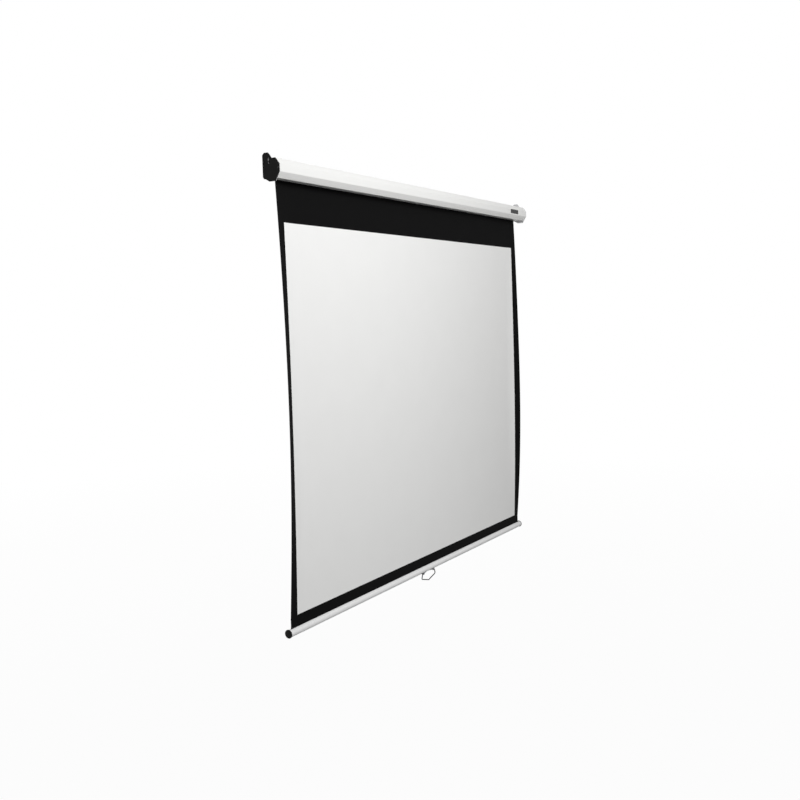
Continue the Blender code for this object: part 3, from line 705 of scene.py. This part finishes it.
endCap = {
    "outline": [
        (0, -0.026, 0.002),
        (-0.025, -0.0405, 0.003),
        (-0.050, -0.0405, 0.003),
        (-0.067, -0.0125, 0.0025),
        (-0.067, 0.011, 0.0025),
        (-0.051, 0.031, 0.002),
        (-0.0365, 0.031, 0.002),
        (-0.029, 0.042, 0.003),
        (-0.022, 0.049, 0.003),
        (-0.007, 0.049, 0.003),
        (0, 0.042, 0.003),
    ],
    "panel": [
        (-0.0032, -0.0095, 0.0015),
        (-0.0225, -0.0200, 0.002),
        (-0.0460, -0.0200, 0.002),
        (-0.0630, -0.0060, 0.002),
        (-0.0630, 0.0095, 0.002),
        (-0.0493, 0.0268, 0.002),
        (-0.0340, 0.0268, 0.002),
        (-0.0255, 0.0405, 0.002),
        (-0.0205, 0.0456, 0.002),
        (-0.0085, 0.0456, 0.002),
        (-0.0032, 0.0405, 0.002),
    ],
    "cornerSteps": 4,
    "rim": 0.0006,
    "innerRim": 0.0003,
    "panelDepth": 0.0006,
    "slotTop": (-0.0237, 0.0325),
    "slotSize": (0.006, 0.018),
    "slotRim": 0.0014,
    "slotSteps": 12,
    "hookHoleTop": (-0.0237, 0.024),
    "hookHoleSize": (0.0054, 0.007),
    "bossRadius": 0.0046,
    "screwHole": 0.0018,
    "screwPlaces": ("upper", "lower", "front"),
    "easedEdge": 0.0002,
    "easedFrom": 55,  # degrees
    "steelRim": 0.0002,
}


def slotOutline(top, size, margin=0.0):
    # An upright slot from its topmost point, its width and its height.
    y, z = top
    width, height = size
    radius = width / 2 + margin
    upper, lower = (y, z - width / 2), (y, z - height + width / 2)
    steps = endCap["slotSteps"]
    return arcOf(upper, radius, 0, 180, steps) + arcOf(lower, radius, 180, 360, steps)


def screwCentres(side):
    return [middleOf(f"{side}_{place}_screw") for place in endCap["screwPlaces"]]


def blockOf(name, outline, near, far):
    return loose(name, slab(name, outline, near, far))


def makeEndCap(side, sign):
    low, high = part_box(f"{side}_end_plate")
    outer, inner = (high.x, low.x) if sign > 0 else (low.x, high.x)
    past = sign * meshing["pastFace"]
    floor, above, below = outer - sign * endCap["panelDepth"], outer + past, inner - 2 * past
    steps = endCap["cornerSteps"]
    outline = filleted(endCap["outline"], steps, closed=True)
    data = slab("endCap", outline, inner, outer, endCap["innerRim"], endCap["rim"])
    plate = loose(f"{side}EndCap", data)
    # The panel is sunk, and a ring round the slot and a boss round each screw stand up in it.
    panel = blockOf("panel", filleted(endCap["panel"], steps, closed=True), floor, above)
    ring = slotOutline(endCap["slotTop"], endCap["slotSize"], endCap["slotRim"])
    raised = [blockOf("slotRing", ring, floor - past, above + past)]
    for centre in screwCentres(side):
        disc = discOf(centre, endCap["bossRadius"])
        raised.append(blockOf("boss", disc, floor - past, above + past))
    carve(panel, raised)
    slot = slotOutline(endCap["slotTop"], endCap["slotSize"])
    holes = [blockOf("slotHole", slot, below, above)]
    for centre in screwCentres(side):
        holes.append(blockOf("screwHole", discOf(centre, endCap["screwHole"]), below, above))
    carve(plate, [panel, *holes])
    ease(plate, endCap["easedEdge"], 2, endCap["easedFrom"])
    hang(plate, "mounted_case", "black_plastic", [capBlack], f"{side}_end_plate")


def makeHanger(side):
    # The steel plate behind each end cap takes the screen's weight on a hook through its hole.
    node = f"{side}_hanger_plate"
    low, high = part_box(node)
    outline = filleted(endCap["outline"], endCap["cornerSteps"], closed=True)
    rim = endCap["steelRim"]
    plate = loose(f"{side}HangerPlate", slab("hanger", outline, low.x, high.x, rim, rim, steps=2))
    rings = [slotOutline(endCap["hookHoleTop"], endCap["hookHoleSize"])]
    rings += [discOf(centre, endCap["screwHole"]) for centre in screwCentres(side)]
    below, above = low.x - meshing["pastFace"], high.x + meshing["pastFace"]
    carve(plate, [blockOf("hole", ring, below, above) for ring in rings])
    hang(plate, "mounted_case", "steel", [hangerSteel], node)


screw = {
    "radius": 0.0032,
    "height": 0.0018,
    "shank": 0.0015,
    "length": 0.012,
    "point": 0.001,
    "sides": 40,
    "domeFoot": 0.25,  # share of the height at the head's edge
    "domePower": 0.7,
    "domeSteps": 8,
    "arm": 0.0019,
    "slit": 0.00045,
    "crossDepth": 0.6,  # share of the height
    "turns": {"upper": 20, "lower": 67, "front": 41},
}


def screwMesh():
    # Pan head with a cross recess. The head's underside is at 0, and the head points to -X.
    length, height, shank = screw["length"], screw["height"], screw["shank"]
    steps = screw["domeSteps"]
    profile = [(length, 0.0), (length - screw["point"], shank)]
    profile += [(0.0, shank), (0.0, screw["radius"])]
    for i in range(1, steps + 1):
        angle = math.pi / 2 * i / steps
        rise = screw["domeFoot"] + (1 - screw["domeFoot"]) * math.sin(angle)
        radius = screw["radius"] * math.cos(angle) ** screw["domePower"] if i < steps else 0.0
        profile.append((-height * rise, radius))
    head = loose("screwHead", turned("screwHead", profile, steps=screw["sides"]))
    arm, slit = screw["arm"], screw["slit"]
    cross = [
        (slit, slit), (slit, arm), (-slit, arm), (-slit, slit), (-arm, slit), (-arm, -slit),
        (-slit, -slit), (-slit, -arm), (slit, -arm), (slit, -slit), (arm, -slit), (arm, slit),
    ]
    floor = height * screw["crossDepth"] - height
    carve(head, [blockOf("cross", cross, -height - meshing["pastFace"], floor)])
    data = head.data
    bpy.data.objects.remove(head, do_unlink=True)
    return data


def makeScrews():
    shared = screwMesh()
    for side, sign in (("left", -1), ("right", 1)):
        for place, turn in screw["turns"].items():
            node = f"{side}_{place}_screw"
            low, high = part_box(node)
            seat = (high.x if sign > 0 else low.x) - sign * screw["height"]
            piece = loose(f"{side}{place.title()}Screw", shared.copy())
            facing = Matrix.Rotation(math.pi if sign > 0 else 0.0, 4, "Z")
            own = Matrix.Rotation(math.radians(turn), 4, "X")
            centre = (seat, *middleOf(node))
            piece.data.transform(Matrix.Translation(centre) @ facing @ own)
            hang(piece, "mounted_case", "black_screw", [screwBlack], node)


# badge, left bare

badge = {
    "corner": 0.0022,
    "leastCorner": 0.0004,
    "rim": 0.0004,
    "groove": 0.0014,
    "grooveWidth": 0.0004,
    "grooveDepth": 0.00025,
}


def makeBadge():
    low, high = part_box("badge")

    def frameOutline(margin):
        corner = max(badge["leastCorner"], badge["corner"] - margin)
        left, right, foot, top = low.x + margin, high.x - margin, low.z + margin, high.z - margin
        ends = [(left, foot), (right, foot), (right, top), (left, top)]
        return filleted([(*end, corner) for end in ends], 6, closed=True)

    data = slab("bareBadge", frameOutline(0), high.y, low.y, 0, badge["rim"], alongY)
    plate = loose("bareBadge", data)
    outer = frameOutline(badge["groove"])
    inner = frameOutline(badge["groove"] + badge["grooveWidth"])
    floor, past = low.y + badge["grooveDepth"], meshing["pastFace"]
    ring = loose("ring", slab("ring", outer, floor, low.y - past, turn=alongY))
    core = loose("core", slab("core", inner, floor + past, low.y - 2 * past, turn=alongY))
    carve(ring, [core])
    carve(plate, [ring])
    hang(plate, "mounted_case", "badge", [badgeBlack], "badge")


# fabric

cloth = {
    "thickness": 0.0004,
    "pictureWidth": 1.707,
    "pictureHeight": 1.280,
    "topBorder": 0.129,
    "curlWidth": 0.102,
    "leftCurl": 0.022,
    "rightCurl": 0.0235,
    "leftSag": 0.001,
    "rightSag": 0.0035,
    "rippleDepth": 0.001,
    "rippleWaves": ((7.5, 2.2), (2.6, 1)),
    "columns": (5, 8, 14),  # on the border, the rest of the curl and half the flat middle
    "rows": (8, 64, 4),  # above the picture, on it and below it
    "turnsOnRoller": 2.75,
    "turnSteps": 48,
    "turnGap": 0.00002,
    "turnSink": 0.1,  # of the thickness, so that the first turn meets the sheet
}


def sheetPlace(half, length, across, down):
    # The sheet hangs flat and its side edges curl forward between roller and bar.
    share = down / length
    left = across < 0
    curl = cloth["leftCurl"] if left else cloth["rightCurl"]
    sag = cloth["leftSag"] if left else cloth["rightSag"]
    lift = curl * 4 * share * (1 - share) - sag * math.sin(2 * math.pi * share)
    into = max(0.0, 1 - (half - abs(across)) / cloth["curlWidth"])
    drawnIn = 2 / 3 * lift**2 / cloth["curlWidth"] * into**3
    calm = math.sin(math.pi * share)
    (long, drift), (longer, start) = cloth["rippleWaves"]
    wave = math.sin(across * long + drift * share) * math.sin(across * longer + start)
    ripple = -cloth["rippleDepth"] * calm * (1 + wave) / 2
    return (across - math.copysign(drawnIn, across), -lift * into**2 + ripple, -down)


def makeSheet():
    low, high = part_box("screen_fabric")
    half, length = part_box("lower_fabric_band")[1].x, high.z - low.z
    hangsAt = middleOf("lower_fabric_band")[0]
    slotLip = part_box("case_shell")[0].z
    pictureHalf = cloth["pictureWidth"] / 2
    pictureTop = high.z - slotLip + cloth["topBorder"]
    pictureFoot = pictureTop + cloth["pictureHeight"]

    curlEdge = half - cloth["curlWidth"]
    border, curl, middle = cloth["columns"]
    stations = [half - (half - pictureHalf) * i / border for i in range(border + 1)]
    stations += [pictureHalf - (pictureHalf - curlEdge) * i / curl for i in range(1, curl + 1)]
    stations += [curlEdge * (1 - i / middle) for i in range(1, middle)]
    across = [-x for x in stations] + [0.0] + stations[::-1]
    above, shown, under = cloth["rows"]
    down = [pictureTop * i / above for i in range(above)]
    down += [pictureTop + (pictureFoot - pictureTop) * i / shown for i in range(shown)]
    down += [pictureFoot + (length - pictureFoot) * i / under for i in range(under + 1)]

    columns, rows = len(across), len(down)
    points, faces, finishOf = [], [], []
    for side in (-1, 1):
        skin = hangsAt + side * cloth["thickness"] / 2
        for d in down:
            for x in across:
                spot = sheetPlace(half, length, x, d)
                points.append((spot[0], skin + spot[1], high.z + spot[2]))
    back = rows * columns

    def at(row, column, offset=0):
        return offset + row * columns + column

    for j in range(rows - 1):
        for i in range(columns - 1):
            faces.append((at(j, i), at(j, i + 1), at(j + 1, i + 1), at(j + 1, i)))
            middle = (across[i] + across[i + 1]) / 2
            level = (down[j] + down[j + 1]) / 2
            inside = abs(middle) < pictureHalf and pictureTop < level < pictureFoot
            finishOf.append(1 if inside else 0)
            faces.append(
                (at(j, i, back), at(j + 1, i, back), at(j + 1, i + 1, back), at(j, i + 1, back))
            )
            finishOf.append(2)
    for i in range(columns - 1):
        for j in (0, rows - 1):
            faces.append((at(j, i), at(j, i, back), at(j, i + 1, back), at(j, i + 1)))
            finishOf.append(0)
    for j in range(rows - 1):
        for i in (0, columns - 1):
            faces.append((at(j, i), at(j + 1, i), at(j + 1, i, back), at(j, i, back)))
            finishOf.append(0)
    data = finished("viewingSheet", points, faces, meshing["sharpOnCloth"], finishOf)
    flatPlaces(data)
    sheet = loose("viewingSheet", data)
    sides = [maskBlack, viewingWhite, rearBlack]
    hang(sheet, "mounted_case", "screen_fabric", sides, "screen_fabric")
    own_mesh(sheet)
    return sheet, half, length, hangsAt


def flatPlaces(data):
    # Metres on the cloth, so that its weave stays with it when it is wound up.
    layer = data.uv_layers.new(name="clothMetres")
    for loop in data.loops:
        spot = data.vertices[loop.vertex_index].co
        layer.data[loop.index].uv = (spot.x, spot.z)


def lengthOf(path):
    return sum((Vector(a) - Vector(b)).length for a, b in zip(path, path[1:]))


def makeTurns(half, hangsAt):
    # The turns that stay on the roller, one unbroken spiral that ends where the sheet hangs down.
    centre = middleOf("fabric_turns")
    outer = hangsAt - centre[0]
    thick, steps = cloth["thickness"], cloth["turnSteps"]
    path = []
    for i in range(int(cloth["turnsOnRoller"] * steps) + 1):
        angle = 2 * math.pi * i / steps
        radius = outer - thick * cloth["turnSink"] - (thick + cloth["turnGap"]) * i / steps
        path.append((centre[0] + radius * math.cos(angle), centre[1] + radius * math.sin(angle)))
    data = ribbon("fabricTurns", path, thick, -half, half, 3, meshing["sharpOnCloth"])
    flatPlaces(data)
    turns = loose("fabricTurns", data)
    hang(turns, "roller", "black_fabric", [rearBlack], "fabric_turns")
    length = lengthOf(path)
    return turns, length


hem = {
    "lap": 0.003,  # behind the sheet
    "lapGap": 0.03,  # as a share of the thickness
    "jog": 0.0015,
    "weldAboveBar": 0.011,
    "weldEase": 0.003,
    "rodGap": 0.0001,
    "wrap": (105, 435),  # degrees round the rod, open at the top
    "wrapSteps": 28,
    "pocketRise": 0.001,
    "frontShift": 0.5,  # as shares of the thickness, where the two layers meet in the weld
    "backShift": 0.6,
}


def makeHem(half, hangsAt):
    # The lower band and its hem pocket, wrapped round the rod inside the bar. Its top edge laps
    # behind the sheet, and the jog below the lap is one thickness deep.
    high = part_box("lower_fabric_band")[1]
    rodLow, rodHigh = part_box("hem_rod")
    centre = middleOf("hem_rod")
    thick = cloth["thickness"]
    wrap = (rodHigh.y - rodLow.y) / 2 + thick / 2 + hem["rodGap"]
    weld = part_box("bar_tube")[1].z + hem["weldAboveBar"]
    behind = hangsAt + thick * (1 + hem["lapGap"])
    shift, pocket = thick * hem["backShift"], centre[1] + wrap + hem["pocketRise"]
    path = [(behind, high.z + hem["lap"]), (behind, high.z), (hangsAt, high.z - hem["jog"])]
    path += [(hangsAt, weld + hem["weldEase"]), (hangsAt - thick * hem["frontShift"], weld)]
    path.append((hangsAt - shift, pocket))
    path += arcOf(centre, wrap, *hem["wrap"], hem["wrapSteps"])
    path += [(hangsAt + shift, pocket), (hangsAt + shift, weld)]
    data = ribbon("hemBand", path, thick, -half, half, 3, meshing["sharpOnCloth"])
    flatPlaces(data)
    band = loose("hemBand", data)
    hang(band, "bar", "black_fabric", [maskBlack], "lower_fabric_band")
    length = lengthOf(path)
    return band, length


# bar and pull handle

bar = {
    "wall": 0.0014,
    "steps": 110,
    "slot": 0.003,
    "lipSteps": 6,
    "rivetHole": 0.0015,
}


def makeBar():
    low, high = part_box("bar_tube")
    centre = middleOf("bar_tube")
    radius = (high.y - low.y) / 2
    middle = radius - bar["wall"] / 2
    slot = math.degrees(math.asin((bar["slot"] / 2 + bar["wall"] / 2) / middle))
    path = arcOf(centre, middle, 90 + slot, 450 - slot, bar["steps"])
    data = ribbon("barTube", path, bar["wall"], low.x, high.x, bar["lipSteps"])
    tube = loose("barTube", data)
    carve(tube, [rivetHole(side, centre, radius) for side in ("left", "right")])
    hang(tube, "bar", "aluminium", [barSatin], "bar_tube")


def rivetHole(side, centre, radius):
    # A hole through the tube's wall, pointing from the bar's axis to the rivet.
    low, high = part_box(f"{side}_rivet")
    spot = middleOf(f"{side}_rivet")
    out = Vector((spot[0] - centre[0], spot[1] - centre[1])).normalized()
    middle = (low.x + high.x) / 2

    def outwards(a, b, c):
        return (middle + a, centre[0] + out.x * c - out.y * b, centre[1] + out.y * c + out.x * b)

    disc = discOf((0, 0), bar["rivetHole"], 12)
    past = meshing["pastFace"]
    first, last = radius - bar["wall"] - past, radius + past
    return loose("rivetHole", slab("rivetHole", disc, first, last, turn=outwards))


barCap = {
    "flange": 0.003,
    "dome": 0.0007,
    "round": 0.0013,
    "plugWall": 0.0034,  # from the flange's edge to the plug
    "plugEase": 0.0006,
    "flangeEase": 0.0003,
    "ringShares": (0.86, 0.76, 0.72),  # of the rim's radius; the last is the groove's outer edge
    "ringRise": (0.55, 0.5),
    "ringDepth": 0.0003,
    "ringWidth": 0.0005,
    "domeShares": (0.64, 0.45, 0.25, 0.0),
    "sides": 72,
    "sharp": 40,
}


def makeBarCap(side, sign):
    # A plug, its flange with a rounded rim, and a slightly domed face with a fine ring groove.
    low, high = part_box(f"{side}_bar_cap")
    centre = (0, *middleOf(f"{side}_bar_cap"))
    outer = (high.y - low.y) / 2
    end, start = (high.x, low.x) if sign > 0 else (low.x, high.x)
    seat = end - sign * barCap["flange"]
    plug, ease = outer - barCap["plugWall"], barCap["plugEase"]
    profile = [(start, 0.0), (start, plug - ease), (start + sign * ease, plug), (seat, plug)]
    profile.append((seat, outer - barCap["flangeEase"]))
    profile.append((seat + sign * barCap["flangeEase"], outer))
    dome, bend = barCap["dome"], barCap["round"]
    rim = outer - bend
    for x, radius in arcOf((0, 0), bend, 0, 90, 5):
        profile.append((end - sign * (bend + dome - radius), rim + x))
    *shares, ringShare = barCap["ringShares"]
    for share in shares:
        profile.append((end - sign * dome * share**2, rim * share))
    ringAt, depth = rim * ringShare, barCap["ringDepth"]
    for rise, width in zip(barCap["ringRise"], (0, barCap["ringWidth"])):
        profile.append((end - sign * (dome * rise + depth), ringAt - width))
    for share in barCap["domeShares"]:
        profile.append((end - sign * dome * share**2, rim * share))
    data = turned("barCap", profile, centre, barCap["sides"], barCap["sharp"])
    hang(loose(f"{side}BarCap", data), "bar", "black_plastic", [capBlack], f"{side}_bar_cap")


handle = {
    "wire": 0.002,  # its radius
    "sides": 20,
    "domes": 5,
    "sharp": 60,
    "step": 0.004,
    "span": 0.095,
    "splay": 0.0075,
    "sideDrop": 0.019,
    "drop": 0.034,
    "stub": 0.0356,
    "topBend": 0.0032,
    "corner": 0.0055,
    "cornerSteps": 12,
}


def makeHandle():
    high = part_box("pull_handle")[1]
    y = middleOf("pull_handle")[0]
    z = high.z - handle["wire"]
    side = handle["span"] / 2
    out = side + handle["splay"]
    right = [
        (handle["stub"], 0),
        (side, 0, handle["topBend"]),
        (out, -handle["sideDrop"], handle["corner"]),
        (0, -handle["drop"], handle["corner"]),
    ]
    left = [(-point[0], *point[1:]) for point in reversed(right[:-1])]
    path = [(x, y, z + dz) for x, dz in filleted(right + left, handle["cornerSteps"])]
    dense = [path[0]]
    for a, b in zip(path, path[1:]):
        count = max(1, int((Vector(b) - Vector(a)).length / handle["step"]))
        dense += [tuple(Vector(a).lerp(Vector(b), i / count)) for i in range(1, count + 1)]
    sides, domes, sharp = handle["sides"], handle["domes"], handle["sharp"]
    wire = loose("pullHandle", rod("pullHandle", dense, handle["wire"], sides, domes, sharp))
    hang(wire, "handle", "dark_wire", [handleSteel], "pull_handle")


# inner works and small parts, whose CAD shapes stay

keptNodes = [
    (eyeGrey, ["left_handle_eye", "right_handle_eye", "spring_bracket", "idler_bracket"]),
    (bushNylon, ["hem_rod", "spindle_bush", "idler_bush"]),
    (plugBlack, ["spring_plug", "idler_plug", "spring_anchor"]),
    (rollerSatin, ["roller_tube"]),
    (zincSteel, ["left_rivet", "right_rivet", "idler_pin", "spindle", "spindle_clip"]),
    (zincSteel, ["torsion_spring", "lock_wheel", "upper_pawl", "lower_pawl"]),
    (zincSteel, ["upper_pawl_pin", "lower_pawl_pin"]),
]


def softShading():
    # Welds a CAD node's facets and shades it smooth, but for its real edges.
    group = bpy.data.node_groups.new("softShading", "GeometryNodeTree")
    for way in ("INPUT", "OUTPUT"):
        group.interface.new_socket("Geometry", in_out=way, socket_type="NodeSocketGeometry")
    bench = NodeBench(group)
    shape = bench.node("NodeGroupInput")
    values = {"Geometry": shape, "Distance": meshing["nodeWeld"]}
    shape = bench.node("GeometryNodeMergeByDistance", values=values)
    shape = bench.node("GeometryNodeSetShadeSmooth", values={"Geometry": shape})
    sharp = bench.node("GeometryNodeInputMeshEdgeAngle") > math.radians(meshing["sharp"])
    shape = bench.node(
        "GeometryNodeSetShadeSmooth",
        {"domain": "EDGE"},
        {"Geometry": shape, "Selection": sharp, "Shade Smooth": False},
    )
    bench.feed(bench.tree.nodes.new("NodeGroupOutput").inputs[0], shape)
    return group


def dressNodes():
    group = softShading()
    for finish, names in keptNodes:
        for name in names:
            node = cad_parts[name]
            node.data.materials.clear()
            node.data.materials.append(finish)
            node.modifiers.new("softShading", "NODES").node_group = group


# making the pieces

makeCase()
makePorts()
for side, sign in (("left", -1), ("right", 1)):
    makeEndCap(side, sign)
    makeHanger(side)
makeScrews()
makeBadge()
print("case, end caps, screws and badge made")

sheet, clothHalf, sheetLength, hangsAt = makeSheet()
turns, turnsLength = makeTurns(clothHalf, hangsAt)
band, bandLength = makeHem(clothHalf, hangsAt)
print(f"fabric made: sheet {sheetLength:.3f} m, turns {turnsLength:.3f} m, band {bandLength:.3f} m")

makeBar()
for side, sign in (("left", -1), ("right", 1)):
    makeBarCap(side, sign)
makeHandle()
dressNodes()
print("bar, handle and inner works made")


# studio

studio = {
    "lens": 42.405,
    "yaw": 58.3316,
    "pitch": -5.0771,
    "roll": -1.5010,
    "spot": (-3.25259, -1.91569, -0.46705),
    "clip": (0.05, 100),
    "floor": -2.2,
    "floorSize": 40,
    "paper": ((0.20, 0.20, 0.20), (0.22, 0.22, 0.22)),
    "paperRoughness": 0.9,
    "paperDepth": 0.0003,
    "paperStrength": 0.2,
    "shadow": 0.035,
    "shadowFade": (0.05, 0.2),  # of the floor's size
    "ambient": 0.18,
    "backdrop": 1.0,
    "lamps": {
        "keyLamp": {"at": (-0.8, -2.4, 0.9), "aim": (-0.4, 0, -0.4), "size": 1.3, "power": 46},
        "fillLamp": {"at": (-1.0, -3.8, 0.8), "aim": (0, 0, -1.2), "size": 1.6, "power": 50},
        "rearLamp": {"at": (0.6, 4.0, 0.3), "aim": (0, 0, -0.6), "size": 3.0, "power": 85},
    },
}


def makeCamera():
    yaw, pitch, roll = (math.radians(studio[key]) for key in ("yaw", "pitch", "roll"))
    level = Vector((math.cos(yaw), -math.sin(yaw), 0))
    forward = Vector((math.sin(yaw), math.cos(yaw), 0))
    ahead = forward * math.cos(pitch) + Vector((0, 0, math.sin(pitch)))
    upright = level.cross(ahead)
    right = level * math.cos(roll) + upright * math.sin(roll)
    up = upright * math.cos(roll) - level * math.sin(roll)
    data = bpy.data.cameras.new("camera")
    data.lens = studio["lens"]
    data.clip_start, data.clip_end = studio["clip"]
    camera = loose("camera", data)
    turn = Matrix((right, up, -ahead)).transposed().to_4x4()
    camera.matrix_world = Matrix.Translation(studio["spot"]) @ turn
    bpy.context.scene.camera = camera


def makeLamps():
    for name, lamp in studio["lamps"].items():
        data = bpy.data.lights.new(name, "AREA")
        data.shape = "DISK"
        data.size = lamp["size"]
        data.energy = lamp["power"]
        made = loose(name, data)
        made.location = lamp["at"]
        aim = Vector(lamp["aim"]) - made.location
        made.rotation_euler = aim.to_track_quat("-Z", "Y").to_euler()


def backdropMask(bench):
    # 1 for the rays that should see the plain white background.
    rays = bench.node("ShaderNodeLightPath").socket.node.outputs
    kinds = ("Is Camera Ray", "Is Glossy Ray", "Is Transmission Ray")
    camera, glossy, through = (Strand(bench, rays[kind]) for kind in kinds)
    return camera.larger(glossy).larger(through)


def plainWhite(bench, kind):
    return bench.node(kind, values={"Color": (1.0, 1.0, 1.0), "Strength": studio["backdrop"]})


def makeFloor():
    # Pale paper that keeps a faint shadow near the screen and is plain white further off.
    paper = Finish("floorPaper", Roughness=studio["paperRoughness"])
    spot = paper.place()
    paper.put("Base Color", paper.blend(paper.grain(spot, 3, 3), *studio["paper"]))
    tooth = paper.grain(spot, 400, 2)
    paper.put("Normal", paper.relief(tooth, studio["paperDepth"], studio["paperStrength"]))
    reach = paper.node("ShaderNodeVectorMath", {"operation": "LENGTH"}, {0: spot}, out="Value")
    fade = paper.ramp(reach * (1 / studio["floorSize"]), *studio["shadowFade"])
    mask = backdropMask(paper) * (1 - studio["shadow"] * (1 - fade))
    lit = Strand(paper, paper.surface.outputs[0])
    white = plainWhite(paper, "ShaderNodeEmission")
    mixed = paper.node("ShaderNodeMixShader", values={0: mask, 1: lit, 2: white})
    paper.feed(paper.tree.nodes["Material Output"].inputs["Surface"], mixed)
    size, level = studio["floorSize"], studio["floor"]
    ways = ((-1, -1), (1, -1), (1, 1), (-1, 1))
    corners = [(size * x, size * y, level) for x, y in ways]
    floor = loose("floor", finished("floor", corners, [(0, 1, 2, 3)]))
    floor.data.materials.append(paper.made)


def makeWorld():
    world = bpy.data.worlds.new("studioAir")
    bpy.context.scene.world = world
    world.use_nodes = True
    air = NodeBench(world.node_tree)
    soft = air.tree.nodes["Background"]
    air.feed(soft.inputs["Color"], (1.0, 1.0, 1.0))
    air.feed(soft.inputs["Strength"], studio["ambient"])
    white = plainWhite(air, "ShaderNodeBackground")
    values = {0: backdropMask(air), 1: Strand(air, soft.outputs[0]), 2: white}
    mixed = air.node("ShaderNodeMixShader", values=values)
    air.feed(air.tree.nodes["World Output"].inputs["Surface"], mixed)


makeCamera()
makeLamps()
makeFloor()
makeWorld()
bpy.context.scene.view_settings.view_transform = "Standard"
print("studio made")
